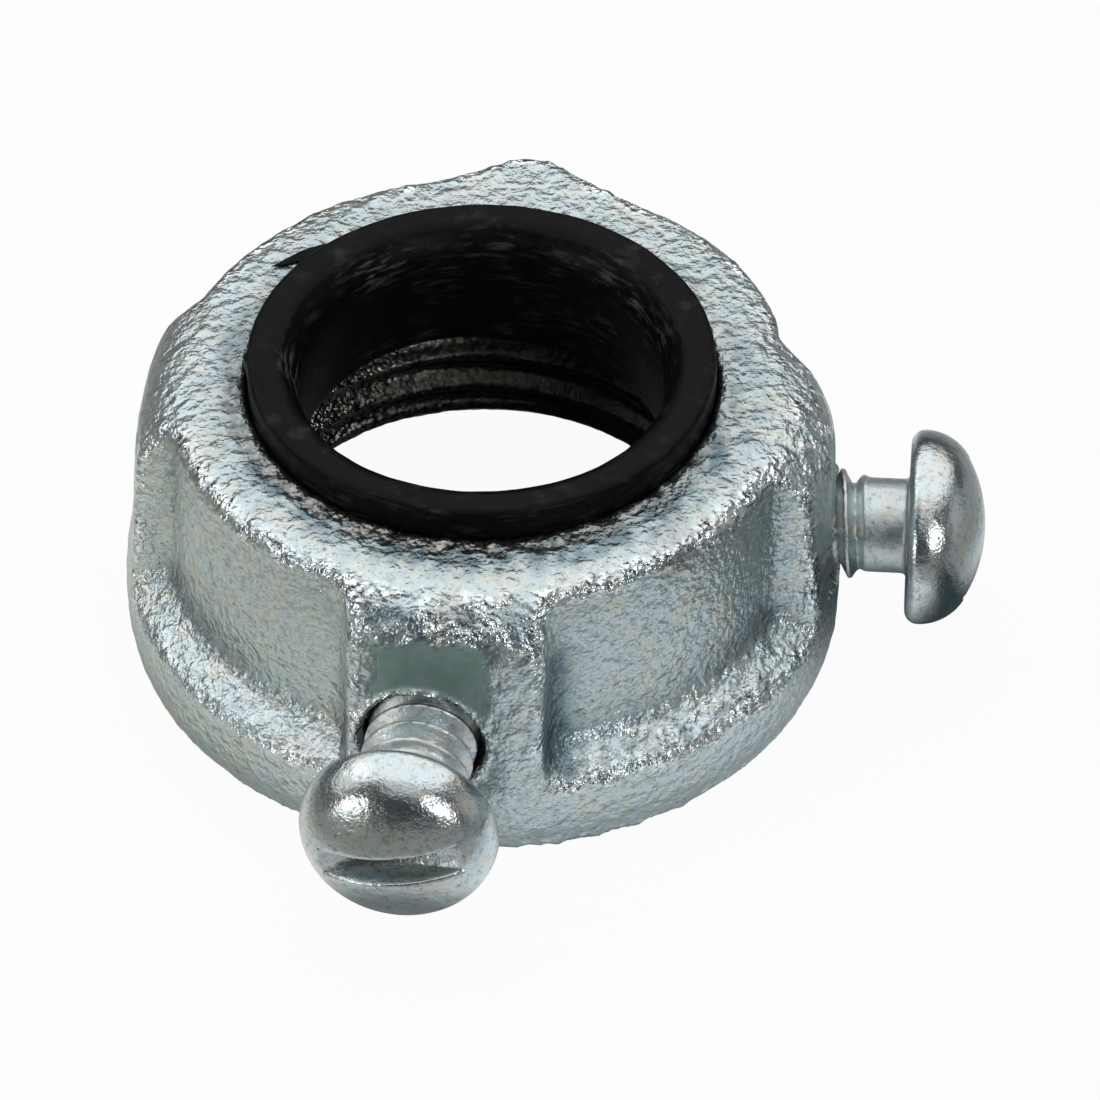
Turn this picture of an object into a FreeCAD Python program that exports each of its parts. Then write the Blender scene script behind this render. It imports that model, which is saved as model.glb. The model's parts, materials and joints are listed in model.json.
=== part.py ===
"""Insulated conduit bushing: an iron casting with four bosses, a plastic throat liner and two screws.

The origin is on the bore's axis in the plane of the lower rim. +Z points up through the throat, and the
bonding screw lies along +X. Lengths are in millimetres and angles in degrees.
"""
import FreeCAD
import Part
import Sketcher
import math
import os
import re

# Driving dimensions: name, value, what it measures.
DIMENSIONS = [
    ("flange_radius", 15.85, "outer face of the flange"),
    ("flange_height", 3.6, "lower rim to the top of that face"),
    ("flange_edge", 0.3, "set-in of the flange's lower edge"),
    ("flange_edge_height", 1.2, "height of that edge"),
    ("ledge_slope", 0.55, "rise of the pocket floors from the flange's edge to the core, for their width"),
    ("core_radius", 13.85, "wall at the bottom of the pockets"),
    ("root_share", 0.65, "round where a boss leaves the core, as a share of the pocket floors' width"),
    ("floor_share", 0.4, "round from the pocket floors to the walls, as a share of the same width"),
    ("boss_radius", 15.4, "bosses at the foot of the shoulder"),
    ("boss_width", 8.6, "across one boss"),
    ("boss_count", 4, "bosses round the core"),
    ("boss_turn", -2, "direction of the first boss from +X"),
    ("gate_radius", 15.3, "end of the stub left by the casting's gate"),
    ("gate_width", 1.3, "across that end"),
    ("gate_angle", 85, "direction of the stub from +X"),
    ("gate_spread", 32, "from the stub to where each flank runs out"),
    ("gate_foot", 13.3, "bore's axis to where a flank runs out"),
    ("casting_height", 13.5, "lower rim to the top face"),
    ("shoulder_radius", 3.2, "round from the top face to the bosses"),
    ("bore_radius", 9.75, "crest of the conduit thread"),
    ("dish_radius", 13.1, "mouth of the dished underside"),
    ("dish_depth", 3.0, "lower rim to the start of the thread"),
    ("seat_height", 9.0, "lower rim to the liner's seat"),
    ("seat_clearance", 0.05, "round the liner in its seat"),
    ("liner_radius", 10.25, "outside of the liner"),
    ("liner_proud", 1.4, "liner above the top face"),
    ("throat_radius", 7.95, "opening for the wires"),
    ("lip_flare", 0.9, "widening of the throat at the liner's top"),
    ("lip_depth", 2.0, "depth of that widening"),
    ("rim_round", 0.3, "round on the liner's outer top edge"),
    ("bead_rise", 0.3, "snap bead on the liner"),
    ("bead_height", 0.8, "length of the snap bead"),
    ("bead_offset", 1.2, "seat to the lower end of the bead"),
    ("screw_height", 5.95, "lower rim to the screws' axes"),
    ("screw_length", 7.9, "under the head"),
    ("screw_radius", 2.413, "crest of the screw thread"),
    ("screw_clearance", 0.05, "round the screw in its tapped hole"),
    ("neck_radius", 2.085, "unthreaded neck under the head"),
    ("neck_length", 1.7, "from the head to the thread"),
    ("thread_runout", 0.4, "cone from the neck to the thread"),
    ("tip_chamfer", 0.5, "end of the screw"),
    ("head_radius", 4.3, "round head"),
    ("head_height", 3.49, "round head"),
    ("head_edge", 0.6, "round under the rim of the head"),
    ("head_corner", 2.3, "round from the rim to the dome"),
    ("slot_width", 1.4, "screwdriver slot"),
    ("slot_depth", 1.3, "screwdriver slot"),
    ("flat_reach", 15.2, "bore's axis to the flats round the tapped holes"),
    ("flat_width", 6.6, "across a flat"),
    ("flat_radius", 5.65, "screw's axis to the round top of a flat"),
    ("bonding_screw_angle", 0, "direction of the bonding screw from +X"),
    ("bonding_screw_reach", 18.8, "bore's axis to the underside of its head"),
    ("bonding_slot_angle", 45, "turn of its slot from level"),
    ("set_screw_angle", 264.4, "direction of the set screw from +X"),
    ("set_screw_reach", 19.9, "bore's axis to the underside of its head"),
    ("set_slot_angle", 11, "turn of its slot from level"),
]

SHEET = "dims"
FLOOR_WIDTH = "(flange_radius - core_radius)"
VERTICAL_AXIS = "V_Axis"
LEVEL_AXIS = "H_Axis"

# Two lengths closer than this are equal.
TOLERANCE = 1e-4


def make_sheet(doc):
    """Puts the driving dimensions in a spreadsheet, one row each, and returns it."""
    sheet = doc.addObject("Spreadsheet::Sheet", SHEET)
    for row, (name, value, meaning) in enumerate(DIMENSIONS, start=1):
        sheet.set(f"A{row}", meaning)
        sheet.set(f"B{row}", str(value))
        sheet.setAlias(f"B{row}", name)
    doc.recompute()
    return sheet


def bound(expression):
    """The expression with each dimension's name turned into a reference to its cell."""
    names = {name for name, _, _ in DIMENSIONS}
    return re.sub("[a-z_]+", lambda word: f"{SHEET}.{word[0]}" if word[0] in names else word[0], expression)


def value_of(sketch, expression):
    """The number that the expression has now."""
    return float(sketch.evalExpression(bound(expression)))


def origin_feature(body, role):
    """The body's own origin plane or axis with the given role."""
    return next(item for item in body.Origin.OriginFeatures if item.Role == role)


def make_body(doc, label):
    """An empty body whose label names its file."""
    body = doc.addObject("PartDesign::Body", label)
    body.Label = label
    return body


def attach(body, name, plane):
    """A sketch on one of the body's origin planes."""
    sketch = body.newObject("Sketcher::SketchObject", name)
    sketch.AttachmentSupport = [(origin_feature(body, plane), "")]
    sketch.MapMode = "FlatFace"
    return sketch


def hold(sketch, geometry, position, x, y):
    """Ties a point of the sketch to two expressions, or to an axis where one is zero."""
    for kind, axis, expression in (("DistanceX", -2, x), ("DistanceY", -1, y)):
        if expression == "0":
            sketch.addConstraint(Sketcher.Constraint("PointOnObject", geometry, position, axis))
            continue
        value = value_of(sketch, expression)
        index = sketch.addConstraint(Sketcher.Constraint(kind, -1, 1, geometry, position, value))
        sketch.setExpression(f"Constraints[{index}]", bound(expression))


def outline(sketch, points, arcs=None):
    """Draws a closed outline through points given as pairs of expressions.

    arcs maps the number of a side to its centre, a pair of expressions, and to the way it bends. Side n
    runs from point n to the next point.
    """
    arcs = arcs or {}
    places = [FreeCAD.Vector(value_of(sketch, x), value_of(sketch, y), 0) for x, y in points]
    ends = []
    for side, start in enumerate(places):
        stop = places[(side + 1) % len(places)]
        if side not in arcs:
            sketch.addGeometry(Part.LineSegment(start, stop))
            ends.append((1, 2))
            continue
        (cx, cy), turn = arcs[side]
        centre = FreeCAD.Vector(value_of(sketch, cx), value_of(sketch, cy), 0)
        first, last = (start, stop) if turn == "left" else (stop, start)
        angles = [math.atan2(p.y - centre.y, p.x - centre.x) for p in (first, last)]
        circle = Part.Circle(centre, FreeCAD.Vector(0, 0, 1), (start - centre).Length)
        sketch.addGeometry(Part.ArcOfCircle(circle, angles[0], angles[1]))
        ends.append((1, 2) if turn == "left" else (2, 1))
    for side in range(len(places)):
        after = (side + 1) % len(places)
        sketch.addConstraint(Sketcher.Constraint("Coincident", side, ends[side][1], after, ends[after][0]))
    for side, (x, y) in enumerate(points):
        hold(sketch, side, ends[side][0], x, y)
    for side, ((cx, cy), _) in arcs.items():
        if cy == "0":
            sketch.addConstraint(Sketcher.Constraint("PointOnObject", side, 3, -1))
            continue
        index = sketch.addConstraint(
            Sketcher.Constraint("DistanceY", -1, 1, side, 3, value_of(sketch, cy)))
        sketch.setExpression(f"Constraints[{index}]", bound(cy))


def turned(body, kind, name, points, arcs=None, axis=VERTICAL_AXIS):
    """A full revolution or groove of an outline in the XZ plane about one of the sketch's axes."""
    sketch = attach(body, f"{name}_outline", "XZ_Plane")
    outline(sketch, points, arcs)
    feature = body.newObject(f"PartDesign::{kind}", name)
    feature.Profile = sketch
    feature.ReferenceAxis = (sketch, [axis])
    feature.Angle = 360
    return feature


def make_casting(doc):
    """The zinc-plated casting: flange, core, bosses, threaded bore, liner seat and tapped holes."""
    body = make_body(doc, "bushing_body")
    pocket_floor = f"flange_height + ledge_slope * {FLOOR_WIDTH}"
    turned(body, "Revolution", "flange_and_core", [
        ("0", "0"),
        ("flange_radius - flange_edge", "0"),
        ("flange_radius", "flange_edge_height"),
        ("flange_radius", "flange_height"),
        ("core_radius", pocket_floor),
        ("core_radius", "casting_height"),
        ("0", "casting_height"),
    ])
    add_bosses(doc, body)
    trim_bosses(body)
    add_gate_stub(body)
    bore_casting(body)
    for name in ("bonding_screw", "set_screw"):
        tap_hole(body, name)
    return body


def add_bosses(doc, body):
    """Square bosses evenly round the core, rounded where they leave it and left long for the trim."""
    reach = "flange_radius + boss_width / 2"
    sketch = attach(body, "boss_outline", "XY_Plane")
    sketch.setExpression("AttachmentOffset.Rotation.Angle", bound("boss_turn"))
    outline(sketch, [
        ("0", "boss_width / -2"),
        (reach, "boss_width / -2"),
        (reach, "boss_width / 2"),
        ("0", "boss_width / 2"),
    ])
    boss = body.newObject("PartDesign::Pad", "boss")
    boss.Profile = sketch
    boss.setExpression("Length", bound("casting_height"))
    pattern = body.newObject("PartDesign::PolarPattern", "bosses")
    pattern.Originals = [boss]
    pattern.Axis = (origin_feature(body, "Z_Axis"), [""])
    pattern.Angle = 360
    pattern.setExpression("Occurrences", bound("boss_count"))
    body.Tip = pattern
    doc.recompute()
    roots = rounded(body, "boss_roots", pattern, boss_root_edges(pattern), f"root_share * {FLOOR_WIDTH}")
    doc.recompute()
    rounded(body, "pocket_floors", roots, floor_edges(roots), f"floor_share * {FLOOR_WIDTH}")


def rounded(body, name, feature, edges, radius):
    """A fillet on the named edges of a feature."""
    fillet = body.newObject("PartDesign::Fillet", name)
    fillet.Base = (feature, edges)
    fillet.setExpression("Radius", bound(radius))
    return fillet


def edge_name(feature, edge):
    """The feature's own name for one of its edges."""
    number = next(n for n, other in enumerate(feature.Shape.Edges, start=1) if other.isSame(edge))
    return f"Edge{number}"


def boss_root_edges(feature):
    """Names of the upright edges where the bosses meet the core."""
    core = value_of(feature, "core_radius")
    names = []
    for number, edge in enumerate(feature.Shape.Edges, start=1):
        box = edge.BoundBox
        upright = box.ZLength > max(box.XLength, box.YLength, TOLERANCE)
        start = edge.Vertexes[0].Point
        if upright and abs(math.hypot(start.x, start.y) - core) < TOLERANCE:
            names.append(f"Edge{number}")
    return names


def floor_edges(feature):
    """Names of the edges where the sloped pocket floors meet the core and the bosses."""
    rim = value_of(feature, "flange_radius")
    floor = value_of(feature, "flange_height")
    names = []
    for face in feature.Shape.Faces:
        if not isinstance(face.Surface, Part.Cone) or face.BoundBox.ZMin < floor - TOLERANCE:
            continue
        for edge in face.Edges:
            if any(math.hypot(end.X, end.Y) < rim - TOLERANCE for end in edge.Vertexes):
                names.append(edge_name(feature, edge))
    return names


def trim_bosses(body):
    """Turns the bosses down to the flange, their own draft and the rounded shoulder."""
    shoulder_start = "boss_radius - shoulder_radius"
    shoulder_foot = "casting_height - shoulder_radius"
    clear = "flange_radius + boss_width"
    turned(body, "Groove", "shoulder", [
        ("flange_radius - flange_edge", "0"),
        ("flange_radius", "flange_edge_height"),
        ("flange_radius", "flange_height"),
        ("boss_radius", shoulder_foot),
        (shoulder_start, "casting_height"),
        (clear, "casting_height"),
        (clear, "0"),
    ], arcs={3: ((shoulder_start, shoulder_foot), "left")})


def add_gate_stub(body):
    """The ground stub of the casting's gate, on one boss, with flanks that run out on the shoulder."""
    sketch = attach(body, "gate_stub_outline", "XY_Plane")
    sketch.setExpression("AttachmentOffset.Rotation.Angle", bound("gate_angle"))
    outline(sketch, [
        ("0", "0"),
        ("gate_foot * cos(gate_spread)", "gate_foot * sin(gate_spread) * -1"),
        ("gate_radius", "gate_width / -2"),
        ("gate_radius", "gate_width / 2"),
        ("gate_foot * cos(gate_spread)", "gate_foot * sin(gate_spread)"),
    ])
    stub = body.newObject("PartDesign::Pad", "gate_stub")
    stub.Profile = sketch
    stub.setExpression("Length", bound("casting_height"))


def bore_casting(body):
    """The dished underside, the bore of the conduit thread and the liner's grooved seat."""
    seat = "liner_radius + seat_clearance"
    groove = f"{seat} + bead_rise"
    groove_low = "seat_height + bead_offset - seat_clearance"
    groove_high = "seat_height + bead_offset + bead_height + seat_clearance"
    turned(body, "Groove", "bore", [
        ("0", "0"),
        ("dish_radius", "0"),
        ("bore_radius", "dish_depth"),
        ("bore_radius", "seat_height"),
        (seat, "seat_height"),
        (seat, groove_low),
        (groove, groove_low),
        (groove, groove_high),
        (seat, groove_high),
        (seat, "casting_height"),
        ("0", "casting_height"),
    ])


def cut_outwards(body, name, screw, start):
    """A pocket from the given distance outwards along a screw's direction, with its sketch still empty."""
    angle = f"{screw}_angle"
    sketch = attach(body, f"{screw}_{name}_outline", "YZ_Plane")
    sketch.AttachmentOffset = FreeCAD.Placement(
        FreeCAD.Vector(), FreeCAD.Rotation(FreeCAD.Vector(0, 1, 0), 1))
    sketch.setExpression("AttachmentOffset.Base.x", bound(f"{start} * sin({angle})"))
    sketch.setExpression("AttachmentOffset.Base.z", bound(f"{start} * cos({angle})"))
    sketch.setExpression("AttachmentOffset.Rotation.Angle", bound(angle))
    pocket = body.newObject("PartDesign::Pocket", f"{screw}_{name}")
    pocket.Profile = sketch
    pocket.Reversed = True
    pocket.setExpression("Length", bound("flange_radius"))
    return sketch


def tap_hole(body, screw):
    """A flat with a round top on one boss and a tapped hole through it, along the screw's own direction."""
    flat = cut_outwards(body, "flat", screw, "flat_reach")
    corner = "screw_height + sqrt(flat_radius ^ 2 - (flat_width / 2) ^ 2)"
    outline(flat, [
        ("flat_width / -2", "flange_height"),
        ("flat_width / 2", "flange_height"),
        ("flat_width / 2", corner),
        ("flat_width / -2", corner),
    ], arcs={2: (("0", "screw_height"), "left")})
    hole = cut_outwards(body, "tapped_hole", screw, "bore_radius / 2")
    radius = "screw_radius + screw_clearance"
    centre = FreeCAD.Vector(0, value_of(hole, "screw_height"), 0)
    hole.addGeometry(Part.Circle(centre, FreeCAD.Vector(0, 0, 1), value_of(hole, radius)))
    hold(hole, 0, 3, "0", "screw_height")
    index = hole.addConstraint(Sketcher.Constraint("Radius", 0, value_of(hole, radius)))
    hole.setExpression(f"Constraints[{index}]", bound(radius))


def make_liner(doc):
    """The plastic ring that lines the throat, held in its seat by a snap bead."""
    body = make_body(doc, "throat_liner")
    top = "casting_height + liner_proud"
    lip = f"{top} - lip_depth"
    bead = "liner_radius + bead_rise"
    bead_low = "seat_height + bead_offset"
    bead_high = f"{bead_low} + bead_height"
    lip_curve = "(lip_flare ^ 2 + lip_depth ^ 2) / (2 * lip_flare)"
    turned(body, "Revolution", "ring", [
        ("throat_radius", "seat_height"),
        ("liner_radius", "seat_height"),
        ("liner_radius", bead_low),
        (bead, bead_low),
        (bead, bead_high),
        ("liner_radius", bead_high),
        ("liner_radius", f"{top} - rim_round"),
        ("liner_radius - rim_round", top),
        ("throat_radius + lip_flare", top),
        ("throat_radius", lip),
    ], arcs={
        6: (("liner_radius - rim_round", f"{top} - rim_round"), "left"),
        8: ((f"throat_radius + {lip_curve}", lip), "left"),
    })
    return body


def make_screw(doc, name):
    """A slotted round-head screw, modelled along X from its tip and set in its tapped hole."""
    body = make_body(doc, name)
    crown = "screw_length + head_height"
    rim = "screw_length + head_edge"
    rise = "(head_height - head_edge)"
    corner = "(head_radius - head_corner)"
    dome = f"(({rise} ^ 2 + {corner} ^ 2 - head_corner ^ 2) / (2 * ({rise} - head_corner)))"
    blend = f"({dome} / ({dome} - head_corner))"
    thread_end = "screw_length - neck_length"
    turned(body, "Revolution", f"{name}_blank", [
        ("0", "0"),
        ("0", "screw_radius - tip_chamfer"),
        ("tip_chamfer", "screw_radius"),
        (f"{thread_end} - thread_runout", "screw_radius"),
        (thread_end, "neck_radius"),
        ("screw_length", "neck_radius"),
        ("screw_length", "head_radius - head_edge"),
        (rim, "head_radius"),
        (f"{crown} - {dome} + ({dome} - {rise}) * {blend}", f"{corner} * {blend}"),
        (crown, "0"),
    ], arcs={
        6: ((rim, "head_radius - head_edge"), "right"),
        7: ((rim, corner), "right"),
        8: ((f"{crown} - {dome}", "0"), "right"),
    }, axis=LEVEL_AXIS)
    sketch = attach(body, f"{name}_slot_outline", "YZ_Plane")
    sketch.setExpression("AttachmentOffset.Base.z", bound(crown))
    sketch.setExpression("AttachmentOffset.Rotation.Angle", bound(name.replace("screw", "slot_angle")))
    outline(sketch, [
        ("head_radius * -1", "slot_width / -2"),
        ("head_radius", "slot_width / -2"),
        ("head_radius", "slot_width / 2"),
        ("head_radius * -1", "slot_width / 2"),
    ])
    slot = body.newObject("PartDesign::Pocket", f"{name}_slot")
    slot.Profile = sketch
    slot.setExpression("Length", bound("slot_depth"))
    tip = f"({name}_reach - screw_length)"
    body.setExpression("Placement.Base.x", bound(f"{tip} * cos({name}_angle)"))
    body.setExpression("Placement.Base.y", bound(f"{tip} * sin({name}_angle)"))
    body.setExpression("Placement.Base.z", bound("screw_height"))
    body.setExpression("Placement.Rotation.Angle", bound(f"{name}_angle"))
    return body


def check(doc, bodies):
    """Stops if any feature failed or any body isn't one valid solid."""
    failed = [item.Name for item in doc.Objects if {"Invalid", "Error"} & set(item.State)]
    if failed:
        raise RuntimeError(f"features failed: {failed}")
    for body in bodies:
        shape = body.Shape
        if shape.isNull() or not shape.isValid() or len(shape.Solids) != 1:
            raise RuntimeError(f"{body.Label} isn't one valid solid")


def main():
    """Builds the document, checks it and writes one file for each piece."""
    doc = FreeCAD.newDocument("conduit_bushing")
    make_sheet(doc)
    bodies = [
        make_casting(doc),
        make_liner(doc),
        make_screw(doc, "set_screw"),
        make_screw(doc, "bonding_screw"),
    ]
    doc.recompute()
    check(doc, bodies)
    os.makedirs("parts", exist_ok=True)
    for body in bodies:
        body.Shape.exportStep(os.path.join("parts", f"{body.Label}.step"))
        print(f"{body.Label}: {body.Shape.Volume:.1f} mm3")


main()
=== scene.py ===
"""Looks of the conduit bushing: its plated casting, black throat liner and two slotted screws.

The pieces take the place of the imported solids. The casting is remeshed and gets its cast skin and conduit
thread, the screws get a helical thread and a milled slot, and the liner gets its moulded lip and flash.
Sizes in the classes are in millimetres unless they say otherwise, and meshes are in metres.
"""
import json
import logging
import math
from dataclasses import dataclass
from enum import Enum
from typing import Any, Mapping, Sequence

import bpy
import numpy as np
from mathutils import Matrix, Vector, noise

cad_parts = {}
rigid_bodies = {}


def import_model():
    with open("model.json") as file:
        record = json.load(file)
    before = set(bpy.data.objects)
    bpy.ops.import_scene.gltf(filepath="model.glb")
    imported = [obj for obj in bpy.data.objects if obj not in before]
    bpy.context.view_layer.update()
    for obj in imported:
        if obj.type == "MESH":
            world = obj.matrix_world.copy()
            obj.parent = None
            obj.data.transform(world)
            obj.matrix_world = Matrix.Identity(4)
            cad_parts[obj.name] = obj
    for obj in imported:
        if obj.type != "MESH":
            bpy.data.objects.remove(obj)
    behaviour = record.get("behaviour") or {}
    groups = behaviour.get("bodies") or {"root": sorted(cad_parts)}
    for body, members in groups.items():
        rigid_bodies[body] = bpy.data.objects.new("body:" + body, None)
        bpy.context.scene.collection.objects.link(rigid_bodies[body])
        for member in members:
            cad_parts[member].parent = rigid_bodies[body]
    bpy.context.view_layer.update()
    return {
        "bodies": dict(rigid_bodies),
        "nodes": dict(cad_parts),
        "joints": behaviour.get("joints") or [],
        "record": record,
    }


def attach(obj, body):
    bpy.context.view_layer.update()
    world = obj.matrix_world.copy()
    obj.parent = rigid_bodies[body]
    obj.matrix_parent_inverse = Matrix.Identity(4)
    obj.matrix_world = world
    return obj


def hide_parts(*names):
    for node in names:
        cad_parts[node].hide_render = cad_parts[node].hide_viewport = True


MM = 0.001
TINY = 1e-6
Colour = tuple[float, float, float, float]
LOG = logging.getLogger("conduit_bushing")


class Zone(Enum):
    """Vertex values of the pieces that their finishes read."""

    HOLLOW = "hollow"
    MACHINED = "machined"
    BORE = "bore"
    NODULAR = "nodular"
    STAINED = "stained"
    HEAD = "head"
    SCUFFED = "scuffed"


class Lump(Enum):
    """Noises on the pieces: the size of the lumps in millimetres, and a shift that sets each apart."""

    RIPPLE = (0.62, 3.0)
    FINE = (0.38, 11.0)
    HAMMERED = (0.72, 7.0)
    SWELL = (3.2, 19.0)
    CLUMP = (0.60, 67.0)
    CROWD = (0.55, 61.0)
    BORE_EDGE = (0.6, 23.0)
    THREAD = (0.35, 53.0)
    FLAT_EDGE = (0.8, 31.0)
    FLAT_SIDE = (1.9, 37.0)
    FRONT = (0.9, 71.0)
    RING = (0.55, 73.0)
    PITS = (0.6, 79.0)
    TROUGH = (0.5, 83.0)
    EDGE = (1.1, 43.0)
    NODULES = (0.9, 47.0)
    LINER_WAVE = (3.4, 5.0)
    LINER_GRAIN = (0.8, 9.0)
    FLASH = (0.35, 13.0)

    def at(self, places: np.ndarray) -> np.ndarray:
        """The noise at each point."""
        return lumps(places, *self.value)


class Band(Enum):
    """Where weights rise from 0 to 1 or fall from 1 to 0: pairs of radii, heights, bends, slopes or noise."""

    THROAT_SIDE = (10.6, 11.4)
    LOWER_RIM = (0.5, 1.3)
    HOLE_SURROUND = (2.8, 3.5)
    BORE_FACING = (0.4, 0.8)
    BORE_WALL = (10.0, 10.2)
    SEAT_FACING = (0.3, 0.7)
    SEAT_WALL = (10.5, 10.8)
    TOP_SLOPE = (0.45, 0.85)
    TOP_HEIGHT = (11.4, 12.6)
    LEDGE_SLOPE = (0.35, 0.7)
    LEDGE_RADIUS = (13.2, 13.8)
    UNDER_SLOPE = (0.3, 0.7)
    HOLE_EDGE = (0.05, 0.4)
    MOUTH_EDGE = (0.08, 0.32)
    MOUTH_DEPTH = (-0.8, -0.3)
    FLAT_FACING = (0.75, 0.95)
    FLAT_DEPTH = (0.15, 0.35)
    FLAT_EDGE = (-0.12, 0.16)
    RIM_RADIUS = (15.0, 15.4)
    CLUMP_HEIGHT = (10.0, 10.8)
    CROWD_RADIUS = (10.6, 11.3)
    BORE_EDGE = (9.9, 10.3)
    OUTER_WALL = (11.5, 13.5)
    THREAD_START = (0.1, 0.9)
    THREAD_END = (-0.7, -0.1)
    INNER_BEND = (0.015, 0.11)
    CORE_WALL = (12.6, 13.0)
    FLOOR_ROOT = (13.6, 14.6)
    LOW_WALL = (5.2, 7.0)
    ROOT_START = (3.2, 4.2)
    ROOT_END = (9.6, 10.8)
    WIDE_RING = (11.2, 13.4)
    NARROW_RING = (10.8, 12.1)
    RING_PATCHES = (-0.2, 0.25)
    FRONT_HEIGHT = (10.2, 11.0)
    FRONT_SLOPE = (0.65, 0.9)
    FRONT_PATCHES = (-0.1, 0.2)
    PITS = (0.0, 0.3)
    EDGE_PATCHES = (-0.3, 0.35)
    NODULE_CLUMPS = (-0.15, 0.30)
    EDGE_BEND = (0.025, 0.085)
    EDGE_RADIUS = (10.9, 11.8)
    SHOULDER_FOOT = (0.20, 0.45)
    SHOULDER_TOP = (0.88, 0.97)
    SHOULDER_RADIUS = (12.9, 13.5)
    SHOULDER_HEIGHT = (9.8, 10.6)
    LEFT_HEIGHT = (5.5, 7.0)
    BOSS_RADIUS = (12.8, 13.6)
    BOSS_SLOPE = (0.3, 0.6)
    LIP_INSIDE = (9.1, 9.5)
    LINER_OPEN = (12.2, 13.4)
    NUB_RADIUS = (-0.5, -0.05)
    NUB_HEIGHT = (13.4, 14.2)
    HEAD_START = (-0.1, 0.1)
    HEAD_RISE = (0.0, 0.6)

    def rise(self, values: np.ndarray) -> np.ndarray:
        """Weights from 0 below the band to 1 above it."""
        return ramp(values, *self.value)

    def fall(self, values: np.ndarray) -> np.ndarray:
        """Weights from 1 below the band to 0 above it."""
        return 1 - ramp(values, *self.value)


class Spot(Enum):
    """Sides of the part where something shows: a direction round the bore and its spread, in degrees."""

    RIGHT_CORNER = (-27, 12)
    LEFT_CORNER = (-150, 16)
    BOSS_ROOT = (-72.5, 3.2)
    FRONT_RING = (-66, 66)
    LEFT_RING = (-128, 62)
    FRONT_HALF = (-105, 85)
    FRONT_SHOULDER = (-93, 17)
    FRONT_CLUMPS = (-95, 18)
    RIGHT_LEDGE = (-45, 30)
    RIGHT_BOSS = (6, 14)
    LEFT_WALL = (-135, 45)
    BACK_LEFT = (180, 70)
    BORE_LEFT = (165, 40)
    BORE_EDGE_LEFT = (150, 55)
    LIP_RIGHT = (42, 28)
    LIP_BACK_LEFT = (128, 10)
    LIP_LEFT = (-172, 7)

    def on(self, shape: "Round") -> np.ndarray:
        """Bell-shaped weights of a shape's vertices round this side."""
        return shape.near(*self.value)


class Signal:
    """An output of a shader board that takes part in Python expressions."""

    def __init__(self, board: "Board", socket: bpy.types.NodeSocket) -> None:
        """Holds one socket of a board."""
        self.board = board
        self.socket = socket

    def math(self, operation: str, first: Any, second: Any) -> "Signal":
        """One Math node on two numbers or signals."""
        return self.board.add("ShaderNodeMath", {"operation": operation}, {0: first, 1: second})

    def __add__(self, other: Any) -> "Signal":
        """Sum of the two."""
        return self.math("ADD", self, other)

    def __radd__(self, other: Any) -> "Signal":
        """Sum of the two."""
        return self.math("ADD", other, self)

    def __sub__(self, other: Any) -> "Signal":
        """This less the other."""
        return self.math("SUBTRACT", self, other)

    def __rsub__(self, other: Any) -> "Signal":
        """The other less this."""
        return self.math("SUBTRACT", other, self)

    def __mul__(self, other: Any) -> "Signal":
        """Product of the two."""
        return self.math("MULTIPLY", self, other)

    def __rmul__(self, other: Any) -> "Signal":
        """Product of the two."""
        return self.math("MULTIPLY", other, self)

    def step(self, low: float, high: float) -> "Signal":
        """Smooth step from 0 at low to 1 at high.

        Args:
            low: Value that gives 0.
            high: Value that gives 1, above or below low.

        Returns:
            The stepped signal.
        """
        settings = {"interpolation_type": "SMOOTHSTEP", "clamp": True}
        return self.board.add(
            "ShaderNodeMapRange", settings, {"Value": self, "From Min": low, "From Max": high})

    def step_mm(self, low: float, high: float) -> "Signal":
        """Smooth step of a length, from 0 at low to 1 at high, both in millimetres."""
        return self.step(low * MM, high * MM)


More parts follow.
